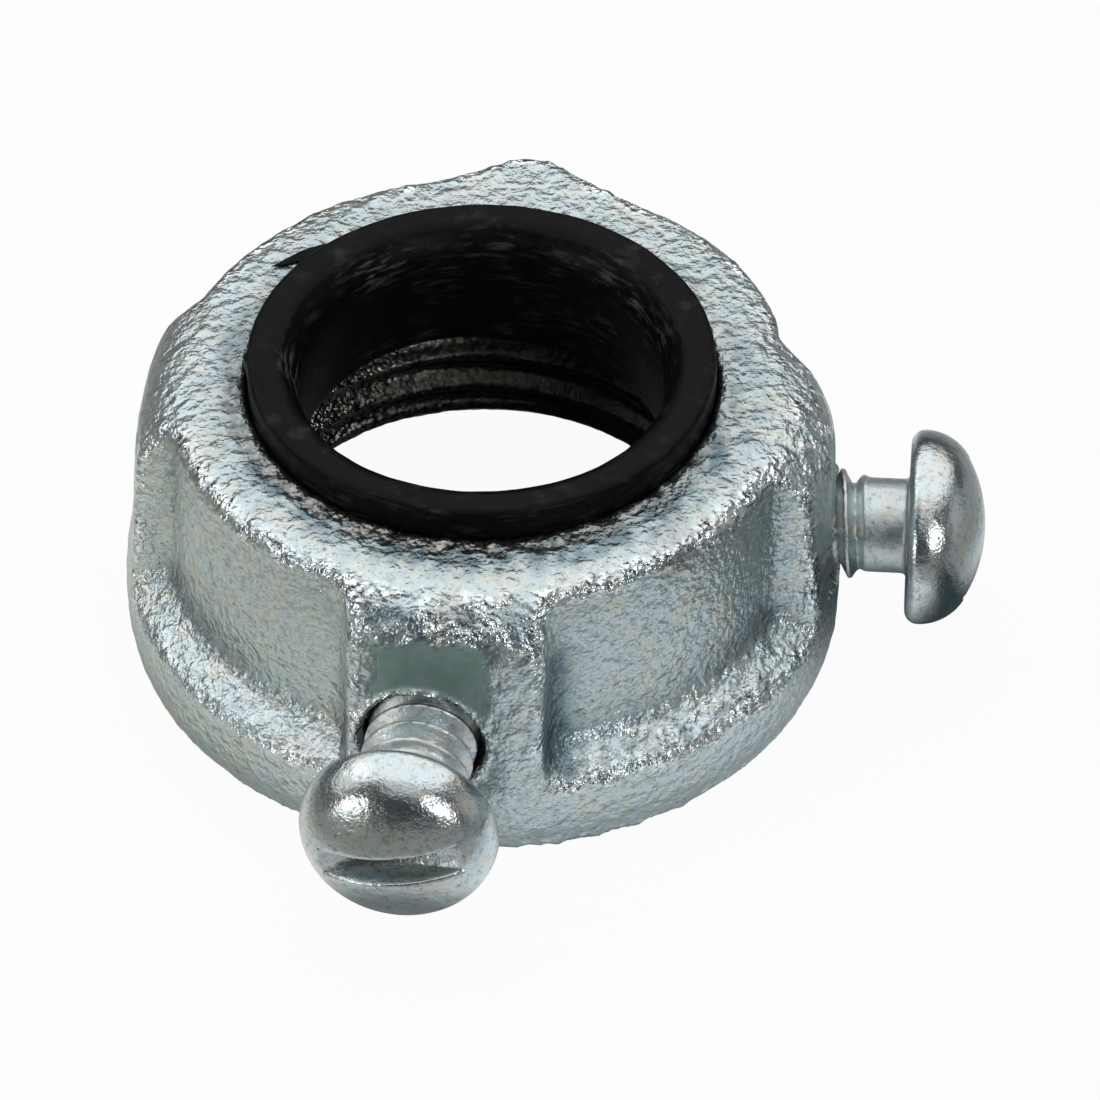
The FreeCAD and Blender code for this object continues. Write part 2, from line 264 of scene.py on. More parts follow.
class Board:
    """A node tree that is filled from Python expressions."""

    def __init__(self, tree: bpy.types.NodeTree) -> None:
        """Clears the tree and takes it over."""
        self.tree = tree
        tree.nodes.clear()

    def add(
        self,
        kind: str,
        settings: Mapping[str, Any] | None = None,
        inputs: Mapping[str | int, Any] | None = None,
        output: str | int = 0,
    ) -> Signal | None:
        """Adds one node.

        Args:
            kind: The node's type.
            settings: Its properties, set first.
            inputs: Numbers, colours or signals for its sockets.
            output: The socket to return.

        Returns:
            The chosen output, or None for a node that has none.
        """
        node = self.tree.nodes.new(kind)
        for name, value in (settings or {}).items():
            setattr(node, name, value)
        for key, value in (inputs or {}).items():
            if isinstance(value, Signal):
                self.tree.links.new(value.socket, node.inputs[key])
            else:
                node.inputs[key].default_value = value
        return Signal(self, node.outputs[output]) if node.outputs else None

    def blend(self, share: Any, first: Any, second: Any) -> Signal:
        """Colour that goes from first to second as share goes from 0 to 1."""
        return self.add("ShaderNodeMix", {"data_type": "RGBA"}, {0: share, 6: first, 7: second}, 2)

    def places(self) -> Signal:
        """Places on the piece in metres, which move with it."""
        return self.add("ShaderNodeTexCoord", output="Object")

    def zone(self, zone: Zone) -> Signal:
        """A vertex value of the mesh."""
        return self.add("ShaderNodeAttribute", {"attribute_name": zone.value}, output="Fac")

    def noise(self, places: Signal, size: float, detail: float = 2.0, rough: float = 0.5) -> Signal:
        """Noise from about 0.2 to 0.8.

        Args:
            places: Where it is read, in metres.
            size: Size of its blotches in millimetres.
            detail: Number of finer layers.
            rough: Strength of the finer layers.

        Returns:
            The noise signal.
        """
        inputs = {"Vector": places, "Scale": 1 / (size * MM), "Detail": detail, "Roughness": rough}
        return self.add("ShaderNodeTexNoise", None, inputs)

    def cells(self, places: Signal, size: float) -> Signal:
        """Distance to the nearest of scattered points, from 0 to about 1, for grains of the given size."""
        return self.add("ShaderNodeTexVoronoi", None, {"Vector": places, "Scale": 1 / (size * MM)})

    def stretched(self, places: Signal, scale: tuple[float, float, float]) -> Signal:
        """Places multiplied along each axis."""
        return self.add("ShaderNodeVectorMath", {"operation": "MULTIPLY"}, {0: places, 1: scale})

    def measured(self, operation: str, places: Signal, other: tuple[float, ...] = (0, 0, 0)) -> Signal:
        """A number from places and one vector, such as a length, a distance or a dot product."""
        return self.add("ShaderNodeVectorMath", {"operation": operation}, {0: places, 1: other}, "Value")

    def finish(self, sockets: Mapping[str, Any]) -> None:
        """Ends a surface with one principled shader.

        Args:
            sockets: Values or signals by socket name.
        """
        shader = self.add("ShaderNodeBsdfPrincipled", None, sockets)
        self.add("ShaderNodeOutputMaterial", None, {"Surface": shader})

    def bump(self, height: Signal, depth: float) -> Signal:
        """Normal of a relief.

        Args:
            height: Relief from 0 to about 1.
            depth: Depth of the relief in millimetres.

        Returns:
            The normal.
        """
        return self.add("ShaderNodeBump", None, {"Height": height, "Distance": depth * MM})


def new_material(name: str) -> tuple[bpy.types.Material, Board]:
    """An empty node material and its board."""
    material = bpy.data.materials.new(name)
    material.use_nodes = True
    return material, Board(material.node_tree)


@dataclass(frozen=True)
class CastZinc:
    """Bright zinc plate on a rough sand casting."""

    cool: Colour = (0.51, 0.59, 0.61, 1)
    warm: Colour = (0.57, 0.59, 0.55, 1)
    # Painted shade: the colour put in inner corners, crevices, pebble lows, pits and the ring round the
    # liner.
    hollow: Colour = (0.12, 0.18, 0.21, 1)
    # Painted highlight: the near-white colour put on the crests of the nodules.
    bright: Colour = (0.95, 0.96, 0.97, 1)
    cut: Colour = (0.31, 0.42, 0.39, 1)
    rust: Colour = (0.16, 0.10, 0.07, 1)
    # Painted deep shade: the near-black colour put in the bore, on undersides, in the sunk hole mouths and in
    # the trough by the liner.
    painted_deep_shade: Colour = (0.030, 0.029, 0.025, 1)
    # Painted glitter: bright specks put in the bore's left and in the trough by the liner.
    painted_glitter: Colour = (0.93, 0.90, 0.82, 1)
    roughness: float = 0.36
    glint: float = 0.15

    def make(self) -> bpy.types.Material:
        """The plate with its tints, stains, grain and the nodules along its edges, with painted shade,
        painted deep shade, painted highlights on the nodule crests and painted glitter.
        """
        material, board = new_material("cast_zinc")
        places = board.places()
        machined = board.zone(Zone.MACHINED)
        bore = board.zone(Zone.BORE)
        nodular = board.zone(Zone.NODULAR)
        grain = board.noise(places, 0.15, 2.0, 0.55)
        pebble = board.noise(places, 0.42, 2.0, 0.5)
        tint = board.noise(places, 1.5, 4.0, 0.65)
        stain = board.noise(places, 1.7, 4.0, 0.65)
        nodules = 1 - board.cells(places, 0.32)
        glints = 1 - board.cells(places, 0.24)
        colour = board.blend(tint.step(0.42, 0.66), self.cool, self.warm)
        # Painted shade in corners, round the liner and in dark patches.
        colour = board.blend(board.zone(Zone.HOLLOW) * 0.9, colour, self.hollow)
        # Painted shade in the low spots of the pebble relief.
        colour = board.blend(pebble.step(0.46, 0.28) * 0.26, colour, self.hollow)
        colour = board.blend(stain.step(0.66, 0.74) * 0.5, colour, self.rust)
        specks = board.noise(places, 0.55, 4.0, 0.7)
        colour = board.blend(specks.step(0.64, 0.72) * 0.6, colour, self.rust)
        cut = board.blend(tint.step(0.38, 0.66) * 0.5, self.cut, self.cool)
        colour = board.blend(machined, colour, cut)
        # Painted deep shade in the bore, under the part, in the hole mouths and in the trough by the liner.
        colour = board.blend(bore, colour, self.painted_deep_shade)
        grown = nodular * (1 - bore)
        # Painted shade in the crevices between the nodules and painted highlights on their crests.
        colour = board.blend(grown * nodules.step(0.45, 0.20) * 0.45, colour, self.hollow)
        colour = board.blend(grown * nodules.step(0.40, 0.70), colour, self.bright)
        # Painted glints in the bore's left and in the trough by the liner.
        sheen = specks.step(0.42, 0.60) * 0.35 + glints.step(0.24, 0.50) * 0.65
        colour = board.blend(nodular * bore * sheen, colour, self.painted_glitter)
        stained = board.zone(Zone.STAINED) * (0.3 + 0.5 * stain.step(0.36, 0.54))
        colour = board.blend(stained, colour, self.rust)
        rough = self.roughness + 0.24 * (grain - 0.5) + 0.16 * machined
        rough = rough - (self.roughness - self.glint) * nodular
        relief = (grain * 0.14 + pebble * 1.25) * (1 - 0.85 * machined) * (1 - 0.7 * bore)
        relief = relief + nodules * 0.85 * grown + glints * (0.32 + 0.4 * bore) * nodular
        board.finish({
            "Base Color": colour,
            "Metallic": 1.0,
            "Roughness": rough,
            "Normal": board.bump(relief, 0.15),
        })
        return material


@dataclass(frozen=True)
class ScrewZinc:
    """Bright zinc plate on a rolled steel screw."""

    cool: Colour = (0.54, 0.61, 0.63, 1)
    warm: Colour = (0.58, 0.58, 0.54, 1)
    dark: Colour = (0.18, 0.20, 0.20, 1)
    polished: float = 0.21
    rolled: float = 0.40

    def make(self) -> bpy.types.Material:
        """Satin plate with tints, dark specks, tumbling marks and a fine grain."""
        material, board = new_material("screw_zinc")
        places = board.places()
        tint = board.noise(places, 1.2, 4.0, 0.65)
        specks = board.noise(places, 0.34, 4.0, 0.75)
        dents = board.noise(places, 0.50, 2.5, 0.55)
        grain = board.noise(places, 0.10, 2.0, 0.6)
        colour = board.blend(tint.step(0.42, 0.64), self.cool, self.warm)
        colour = board.blend(specks.step(0.50, 0.70) * 0.65, colour, self.dark)
        rough = self.rolled + (self.polished - self.rolled) * board.zone(Zone.HEAD)
        rough = rough + 0.20 * (tint - 0.5) + 0.20 * (specks - 0.5)
        board.finish({
            "Base Color": colour,
            "Metallic": 1.0,
            "Roughness": rough,
            "Normal": board.bump(grain * 0.30 + dents * 0.75, 0.05),
        })
        return material


@dataclass(frozen=True)
class BlackPlastic:
    """Black moulded plastic with a satin skin and handling scuffs."""

    black: Colour = (0.003, 0.003, 0.0034, 1)
    scuffed: Colour = (0.030, 0.030, 0.033, 1)
    # Lighter grey for the streaks inside the lip.
    lip_streak: Colour = (0.12, 0.12, 0.132, 1)
    roughness: float = 0.40
    specular: float = 0.07

    def make(self) -> bpy.types.Material:
        """Nearly even black with soft grey scuffs and a fine moulded grain."""
        material, board = new_material("black_plastic")
        places = board.places()
        cloud = board.noise(places, 2.4, 4.0, 0.6)
        scuff = board.noise(board.stretched(places, (1.0, 1.0, 6.0)), 1.1, 3.0, 0.6)
        grain = board.noise(places, 0.12, 2.0, 0.5)
        colour = board.blend(cloud.step(0.42, 0.68) * scuff.step(0.45, 0.7), self.black, self.scuffed)
        # Lighter grey streaks inside the lip.
        colour = board.blend(board.zone(Zone.SCUFFED) * scuff.step(0.47, 0.68), colour, self.lip_streak)
        rough = self.roughness + 0.5 * (cloud - 0.5) + 0.3 * (scuff - 0.5)
        board.finish({
            "Base Color": colour,
            "Roughness": rough,
            "Specular IOR Level": self.specular,
            "Normal": board.bump(grain * 0.4 + scuff * 0.6, 0.03),
        })
        return material


@dataclass(frozen=True)
class PaperFloor:
    """White paper that the camera sees as white with a faint shadow, and that mirrors see shaded."""

    paper: Colour = (0.66, 0.67, 0.67, 1)
    white: Colour = (1, 1, 1, 1)
    inside: Colour = (0.03, 0.032, 0.032, 1)
    under: Colour = (0.22, 0.24, 0.24, 1)
    foot: Colour = (0.44, 0.48, 0.49, 1)
    pale: Colour = (0.93, 0.98, 1.0, 1)
    far: Colour = (0.34, 0.36, 0.36, 1)
    dim: Colour = (0.05, 0.07, 0.08, 1)
    warm: Colour = (0.91, 0.87, 0.79, 1)
    kept_shadow: float = 0.05
    dim_side: tuple[float, float, float] = (1.0, 0.9, 0.0)
    dim_from: float = 10.0
    dim_to: float = 19.0
    dim_fade: float = 23.0
    dim_end: float = 31.0
    inside_to: float = 8.0
    foot_from: float = 12.5
    pale_from: float = 16.3
    pale_to: float = 18.86
    far_from: float = 23.0
    far_to: float = 34.0
    head_shade: tuple[float, float, float] = (-2.1, -21.5, 0.0)
    shade_reach: float = 6.5
    shade_core: float = 1.95
    warm_from: float = -2.0
    warm_to: float = -14.0

    def make(self) -> bpy.types.Material:
        """Paper that glows for the camera, and that mirrors see shaded by its place round the part."""
        material, board = new_material("paper_floor")
        places = board.places()
        seen = board.add("ShaderNodeLightPath", output="Is Camera Ray")
        mirrored = board.add("ShaderNodeLightPath", output="Is Glossy Ray")
        away = board.measured("LENGTH", places)
        side = board.measured("DOT_PRODUCT", places, self.dim_side)
        # Painted shade for mirrors: dark inside and under the part, a painted contact shadow at its foot, a
        # pale ring, then a darker far floor.
        colour = board.blend(away.step_mm(self.inside_to, self.foot_from), self.inside, self.under)
        colour = board.blend(away.step_mm(self.foot_from, self.pale_from), colour, self.foot)
        colour = board.blend(away.step_mm(self.pale_from, self.pale_to), colour, self.pale)
        colour = board.blend(away.step_mm(self.far_from, self.far_to), colour, self.far)
        # Painted shadow under the front screw's head.
        head = tuple(place * MM for place in self.head_shade)
        below = board.measured("DISTANCE", places, head)
        colour = board.blend(below.step_mm(self.shade_reach, self.shade_core), colour, self.under)
        # Painted dim side at the right and back.
        dimmed = side.step_mm(self.dim_from, self.dim_to) * side.step_mm(self.dim_end, self.dim_fade)
        colour = board.blend(dimmed, colour, self.dim)
        # Painted warm tint on the left.
        left = board.add("ShaderNodeSeparateXYZ", None, {0: places}, "X")
        left = left.step_mm(self.warm_from, self.warm_to)
        tinted = {"data_type": "RGBA", "blend_type": "MULTIPLY"}
        colour = board.add("ShaderNodeMix", tinted, {0: left, 6: colour, 7: self.warm}, 2)
        paper = board.add("ShaderNodeBsdfDiffuse", None, {"Color": self.paper})
        glow = board.add("ShaderNodeEmission", None, {"Color": self.white, "Strength": 1.0})
        # The painted image of shadows and tints that mirrors see.
        painted_mirror_image = board.add("ShaderNodeEmission", None, {"Color": colour, "Strength": 1.0})
        surface = board.add("ShaderNodeMixShader", None, {0: mirrored, 1: paper, 2: painted_mirror_image})
        lit = seen * (1 - self.kept_shadow)
        surface = board.add("ShaderNodeMixShader", None, {0: lit, 1: surface, 2: glow})
        board.add("ShaderNodeOutputMaterial", None, {"Surface": surface})
        return material


def ramp(values: np.ndarray, low: float, high: float) -> np.ndarray:
    """Smooth step of an array from 0 at low to 1 at high."""
    share = np.clip((values - low) / (high - low), 0, 1)
    return share * share * (3 - 2 * share)


def bell(values: np.ndarray, middle: float, width: float) -> np.ndarray:
    """Bell-shaped weights of an array, 1 at the middle."""
    return np.exp(-(((values - middle) / width) ** 2))


def bearing(azimuth: float, elevation: float) -> Vector:
    """Direction from the part to a place round it, in degrees: azimuth 0 is the front, 90 the right."""
    turn, rise = math.radians(azimuth), math.radians(elevation)
    return Vector((math.sin(turn) * math.cos(rise), -math.cos(turn) * math.cos(rise), math.sin(rise)))


def lumps(places: np.ndarray, size: float, seed: float) -> np.ndarray:
    """Even noise from about -1 to 1.

    Args:
        places: Points in millimetres.
        size: Size of the lumps in millimetres.
        seed: Shift that makes one noise differ from another.

    Returns:
        One value for each point.
    """
    return np.array([noise.noise(point) for point in (places / size + seed).tolist()])


def new_piece(name: str, places: np.ndarray, faces: Sequence[Sequence[int]]) -> bpy.types.Object:
    """A smooth-shaded mesh object.

    Args:
        name: The piece's name.
        places: Vertices in millimetres.
        faces: Vertex numbers of each face.

    Returns:
        The object, linked to the scene.
    """
    mesh = bpy.data.meshes.new(name)
    mesh.from_pydata((places * MM).tolist(), [], faces)
    mesh.validate()
    mesh.shade_smooth()
    piece = bpy.data.objects.new(name, mesh)
    bpy.context.scene.collection.objects.link(piece)
    return piece


def read_vectors(mesh: bpy.types.Mesh, name: str) -> np.ndarray:
    """One vector for each vertex of the mesh, such as its place or its normal.

    Args:
        mesh: The mesh to read.
        name: The vertices' property.

    Returns:
        The vectors as rows.
    """
    flat = np.empty(len(mesh.vertices) * 3, np.float32)
    mesh.vertices.foreach_get(name, flat)
    return flat.reshape(-1, 3).astype(float)


def read_places(mesh: bpy.types.Mesh) -> np.ndarray:
    """The mesh's vertices in millimetres."""
    return read_vectors(mesh, "co") / MM


def read_edges(mesh: bpy.types.Mesh) -> np.ndarray:
    """Pairs of vertex numbers of the mesh's edges."""
    flat = np.empty(len(mesh.edges) * 2, np.int32)
    mesh.edges.foreach_get("vertices", flat)
    return flat.reshape(-1, 2)


def write_zone(mesh: bpy.types.Mesh, zone: Zone, values: np.ndarray) -> None:
    """Stores one value for each vertex of the mesh."""
    layer = mesh.attributes.new(zone.value, "FLOAT", "POINT")
    layer.data.foreach_set("value", values.astype(np.float32))


def write_places(mesh: bpy.types.Mesh, places: np.ndarray) -> None:
    """Sets the mesh's vertices, given in millimetres."""
    mesh.vertices.foreach_set("co", (places * MM).astype(np.float32).ravel())
    mesh.update()


def relaxed(places: np.ndarray, edges: np.ndarray, rounds: int) -> np.ndarray:
    """Places after each has moved to the mean of its neighbours some times.

    Args:
        places: Vertices in millimetres.
        edges: Pairs of vertex numbers.
        rounds: How often they move.

    Returns:
        The moved places.
    """
    count = np.bincount(edges.ravel(), minlength=len(places))[:, None]
    for _ in range(rounds):
        total = np.zeros_like(places)
        np.add.at(total, edges[:, 0], places[edges[:, 1]])
        np.add.at(total, edges[:, 1], places[edges[:, 0]])
        places = total / np.maximum(count, 1)
    return places


def ring_faces(rings: int, around: int, start: int = 0, closed: bool = False) -> list[Sequence[int]]:
    """Quads between rings of equally many vertices that follow one another.

    Args:
        rings: Number of rings.
        around: Number of vertices in each.
        start: Number of the first vertex.
        closed: Whether the last ring is joined to the first.

    Returns:
        Vertex numbers of each quad.
    """
    here = start + np.arange(rings * around).reshape(rings, around)
    beside = np.roll(here, -1, axis=1)
    quads = np.stack([here, beside, np.roll(beside, -1, axis=0), np.roll(here, -1, axis=0)], axis=-1)
    return quads[:rings if closed else rings - 1].reshape(-1, 4).tolist()


def off_axis(places: np.ndarray, axis: np.ndarray, height: float) -> tuple[np.ndarray, np.ndarray]:
    """Distances along a level axis and from it.

    Args:
        places: Points in millimetres.
        axis: Direction of the axis, which crosses the bore's axis.
        height: Height of the axis.

    Returns:
        Both distances for each point.
    """
    along = places @ axis
    across = places - np.outer(along, axis) - np.array([0, 0, height])
    return along, np.linalg.norm(across, axis=1)


@dataclass
class ScrewLine:
    """Where a screw lies: its axis outwards, its tip and its crown."""

    axis: np.ndarray
    height: float
    tip: float
    crown: float
    head_radius: float

    @classmethod
    def of(cls, frame: Mapping[str, Any], node: str) -> "ScrewLine":
        """Reads a screw's line from its joint and its solid.

        Args:
            frame: The loaded frame.
            node: The screw's node, which is also its body.

        Returns:
            The line, in millimetres.
        """
        joint = next(joint for joint in frame["joints"] if joint["child"] == node)
        axis = np.array(joint["axis"], float)
        places = read_places(frame["nodes"][node].data)
        height = (places[:, 2].min() + places[:, 2].max()) / 2
        along, away = off_axis(places, axis, height)
        return cls(axis, height, along.min(), along.max(), away.max())

    def split(self, places: np.ndarray) -> tuple[np.ndarray, np.ndarray]:
        """Distances along the axis and from the axis."""
        return off_axis(places, self.axis, self.height)


@dataclass
class Round:
    """Vertices of a piece, seen round the bore's axis."""

    places: np.ndarray

    @property
    def height(self) -> np.ndarray:
        """Heights above the lower rim."""
        return self.places[:, 2]

    @property
    def radius(self) -> np.ndarray:
        """Distances from the bore's axis."""
        return np.hypot(self.places[:, 0], self.places[:, 1])

    @property
    def turn(self) -> np.ndarray:
        """Directions round the bore's axis in degrees."""
        return np.degrees(np.arctan2(self.places[:, 1], self.places[:, 0]))

    def near(self, turn: float, spread: float) -> np.ndarray:
        """Bell-shaped weight round one direction, in degrees."""
        off = (self.turn - turn + 180) % 360 - 180
        return bell(off, 0, spread)


@dataclass
class Skin(Round):
    """Vertices of the casting's skin with what is known about each."""

    normals: np.ndarray
    bend: np.ndarray

    @classmethod
    def of(cls, mesh: bpy.types.Mesh, surroundings: int = 14) -> "Skin":
        """Reads the vertices, their normals and how far each stands out from its surroundings.

        Args:
            mesh: The casting's mesh.
            surroundings: Reach of the surroundings, in edges.

        Returns:
            The skin.
        """
        places, normals = read_places(mesh), read_vectors(mesh, "normal")
        proud = places - relaxed(places, read_edges(mesh), surroundings)
        return cls(places, normals, np.einsum("ij,ij->i", proud, normals))

    @property
    def up(self) -> np.ndarray:
        """How far each normal points up, from -1 to 1."""
        return self.normals[:, 2]

    @property
    def outward(self) -> np.ndarray:
        """How far each normal points away from the bore's axis, from -1 to 1."""
        return np.einsum("ij,ij->i", self.normals[:, :2], self.places[:, :2]) / np.maximum(self.radius, TINY)

    def pushed(self, places: np.ndarray, move: np.ndarray) -> np.ndarray:
        """Moved places of the skin, moved once more away from the bore's axis.

        Args:
            places: The moved places.
            move: How far each one moves outwards.

        Returns:
            The new places.
        """
        pushed = places.copy()
        pushed[:, :2] *= (1 + move / np.maximum(self.radius, TINY))[:, None]
        return pushed


@dataclass
class Faces:
    """Weights of the casting's faces at each vertex of its skin."""

    bore: np.ndarray
    seat: np.ndarray
    top: np.ndarray
    ledge: np.ndarray
    under: np.ndarray

    @classmethod
    def of(cls, skin: Skin, bore_top: float, seat_floor: float, ledge_top: float) -> "Faces":
        """Tells the faces apart by their radius, height and slope.

        Args:
            skin: The skin's vertices.
            bore_top: Height that the bore's wall ends at.
            seat_floor: Height that the liner's seat starts at.
            ledge_top: Height that the pocket floors stay below.

        Returns:
            The weights.
        """
        bore = Band.BORE_FACING.rise(-skin.outward) * Band.BORE_WALL.fall(skin.radius)
        seat = Band.SEAT_FACING.rise(-skin.outward) * Band.SEAT_WALL.fall(skin.radius)
        ledge = Band.LEDGE_SLOPE.rise(skin.up) * Band.LEDGE_RADIUS.rise(skin.radius)
        return cls(
            bore=bore * (skin.height < bore_top),
            seat=seat * (skin.height > seat_floor),
            top=Band.TOP_SLOPE.rise(skin.up) * Band.TOP_HEIGHT.rise(skin.height),
            ledge=ledge * (skin.height < ledge_top),
            under=Band.UNDER_SLOPE.rise(-skin.up),
        )


@dataclass
class Tapping:
    """Weights of the tapped holes on the skin, and how their burrs and sunk mouths move it."""

    hole: np.ndarray
    flat: np.ndarray
    ring: np.ndarray
    mouth: np.ndarray
    moves: np.ndarray

    @property
    def bare(self) -> np.ndarray:
        """Weight of the machined flats without the burrs on them."""
        return self.flat * (1 - self.ring)


@dataclass(frozen=True)
class TappedHoles:
    """The two tapped holes with their machined flats and the burrs that the tap pushed up."""

    radius: float = 2.463
    flat_reach: float = 15.2
    flat_aside: float = 0.25
    flat_half_width: float = 2.50
    flat_above: float = 3.6
    flat_half_height: float = 2.05
    flat_tilt: float = 0.06
    flat_crown: float = 0.07
    burr: float = 0.24
    burr_gap: float = 0.45
    burr_width: float = 0.15
    sink: float = 0.45

    def measure(self, skin: Skin, screws: Sequence[ScrewLine]) -> Tapping:
        """Finds the holes, their flats, burrs and sunk mouths on the skin.

        Args:
            skin: The skin's vertices.
            screws: Lines of the tapped holes.

        Returns:
            Their weights and moves.
        """
        weights = np.zeros((4, len(skin.places)))
        moves = np.zeros_like(skin.places)
        ragged = Lump.FLAT_EDGE.at(skin.places) + 0.7 * Lump.FLAT_SIDE.at(skin.places)
        for screw in screws:
            along, away = screw.split(skin.places)
            outer = along > 0
            across = skin.places @ np.cross([0, 0, 1], screw.axis)
            above = skin.height - screw.height - self.flat_above
            hole = outer * Band.HOLE_EDGE.fall(away - self.radius)
            facing = outer * Band.FLAT_FACING.rise(skin.normals @ screw.axis)
            facing = facing * Band.FLAT_DEPTH.fall(np.abs(along - self.flat_reach))
            aside = np.abs(across - self.flat_aside) - self.flat_half_width + 0.30 * ragged
            over = np.abs(above - self.flat_tilt * across) + self.flat_crown * across ** 2
            over = over - self.flat_half_height + 0.35 * ragged
            flat = facing * Band.FLAT_EDGE.fall(np.maximum(aside, over))
            ring = bell(away, self.radius + self.burr_gap, self.burr_width) * facing
            mouth = outer * Band.MOUTH_EDGE.fall(away - self.radius)
            mouth = mouth * Band.MOUTH_DEPTH.rise(along - self.flat_reach)
            weights = np.maximum(weights, [hole, flat, ring, mouth])
            moves += np.outer(self.burr * ring * (0.7 + 0.9 * ragged) - self.sink * mouth, screw.axis)
        return Tapping(*weights, moves)

    def cleared(self, places: np.ndarray, screws: Sequence[ScrewLine]) -> np.ndarray:
        """Keeps the holes open for the screws' threads.

        Args:
            places: Moved places of the skin.
            screws: Lines of the tapped holes.

        Returns:
            The places, with those that crept into a hole moved back to its wall.
        """
        for screw in screws:
            along, away = screw.split(places)
            foot = np.outer(along, screw.axis) + np.array([0, 0, screw.height])
            crept = (along > 0) & (away < self.radius)
            grow = np.where(crept, self.radius / np.maximum(away, TINY), 1.0)
            places = foot + (places - foot) * grow[:, None]
        return places


@dataclass(frozen=True)
class CastRelief:
    """Relief of the sand casting: ripples, swells, burrs, a ragged bore edge and walls that lean.

    A leaning wall is given by its direction, spread, lowest height and how far it leans out.
    """

    top_ripple: float = 0.085
    wall_ripple: float = 0.036
    ledge_ripple: float = 0.060
    swell: float = 0.05
    crowding: float = 0.16
    clump: float = 0.11
    bore_edge: float = 3.0
    bore_edge_width: float = 0.35
    rim_height: float = 0.6
    rim_burr: float = 0.10
    rim_burr_spread: float = 1.3
    rim_burrs: tuple[float, ...] = (-73.7, -67.3, -60.4, -52.1)
    lean_rise: float = 2.0
    leanings: tuple[tuple[float, float, float, float], ...] = (
        (178.0, 15.0, 3.0, -0.28), (-4.0, 9.0, 3.0, 0.34), (15.0, 7.0, 3.0, -0.40),
        (48.0, 15.0, 8.5, 0.28), (121.0, 13.0, 9.0, 0.20),
    )

    def depth(self, skin: Skin, faces: Faces) -> np.ndarray:
        """How far each vertex of the cast skin moves along its normal.

        Args:
            skin: The skin's vertices.
            faces: Weights of the casting's faces.

        Returns:
            Moves along the normals.
        """
        top, ledge = faces.top, faces.ledge
        fine = Lump.FINE.at(skin.places)
        ripple = Lump.RIPPLE.at(skin.places) + 0.32 * fine
        hammered = 2.6 * np.abs(Lump.HAMMERED.at(skin.places)) - 0.6 + 0.30 * fine
        ripple = ripple + (hammered - ripple) * 0.75 * np.clip(top + 0.3 * ledge, 0, 1)
        depth = self.wall_ripple + (self.top_ripple - self.wall_ripple) * top
        depth = depth + (self.ledge_ripple - self.wall_ripple) * ledge * (1 - top)
        swell = self.swell * Lump.SWELL.at(skin.places) * (1 - faces.under)
        rim = (skin.height < self.rim_height) * Band.RIM_RADIUS.rise(skin.radius)
        burrs = sum(self.rim_burr * skin.near(turn, self.rim_burr_spread) for turn in self.rim_burrs) * rim
        clump = self.clump * Band.CLUMP_HEIGHT.rise(skin.height) * (1 - top) * Lump.CLUMP.at(skin.places)
        crowd = top * Band.CROWD_RADIUS.fall(skin.radius) * self.crowding * (0.4 + Lump.CROWD.at(skin.places))
        edge = bell(skin.height, self.bore_edge, self.bore_edge_width) * Band.BORE_EDGE.fall(skin.radius)
        edge = edge * (0.12 + 0.40 * Spot.BORE_EDGE_LEFT.on(skin)) * Lump.BORE_EDGE.at(skin.places)
        return depth * ripple + swell + burrs + clump * Spot.FRONT_CLUMPS.on(skin) + crowd + edge

    def leaning(self, places: np.ndarray, skin: Skin) -> np.ndarray:
        """Moves the outer walls in or out where the casting is uneven.

        Args:
            places: Moved places of the skin.
            skin: The skin before it was moved.

        Returns:
            The moved places.
        """
        move = sum(
            amount * skin.near(turn, spread) * ramp(skin.height, low, low + self.lean_rise)
            for turn, spread, low, amount in self.leanings)
        return skin.pushed(places, Band.OUTER_WALL.rise(skin.radius) * move)


@dataclass(frozen=True)
class ConduitThread:
    """The conduit's thread in the bore's wall."""

    low: float = 3.0
    high: float = 9.0
    pitch: float = 1.814
    depth: float = 0.85
    flank_share: float = 0.8
    ragged: float = 0.04

    def cut(self, places: np.ndarray, skin: Skin, wall: np.ndarray) -> np.ndarray:
        """Cuts the thread into the bore's wall.

        Args:
            places: Moved places of the skin.
            skin: The skin before it was moved.
            wall: Weight of the bore's wall.

        Returns:
            The threaded places.
        """
        phase = np.mod(skin.height / self.pitch - skin.turn / 360, 1.0)
        groove = np.clip((0.5 - np.abs(phase - 0.5)) * 2 / self.flank_share, 0, 1)
        fade = Band.THREAD_START.rise(skin.height - self.low) * Band.THREAD_END.fall(skin.height - self.high)
        ragged = self.ragged * Lump.THREAD.at(skin.places)
        return skin.pushed(places, wall * (fade * self.depth * groove + ragged))


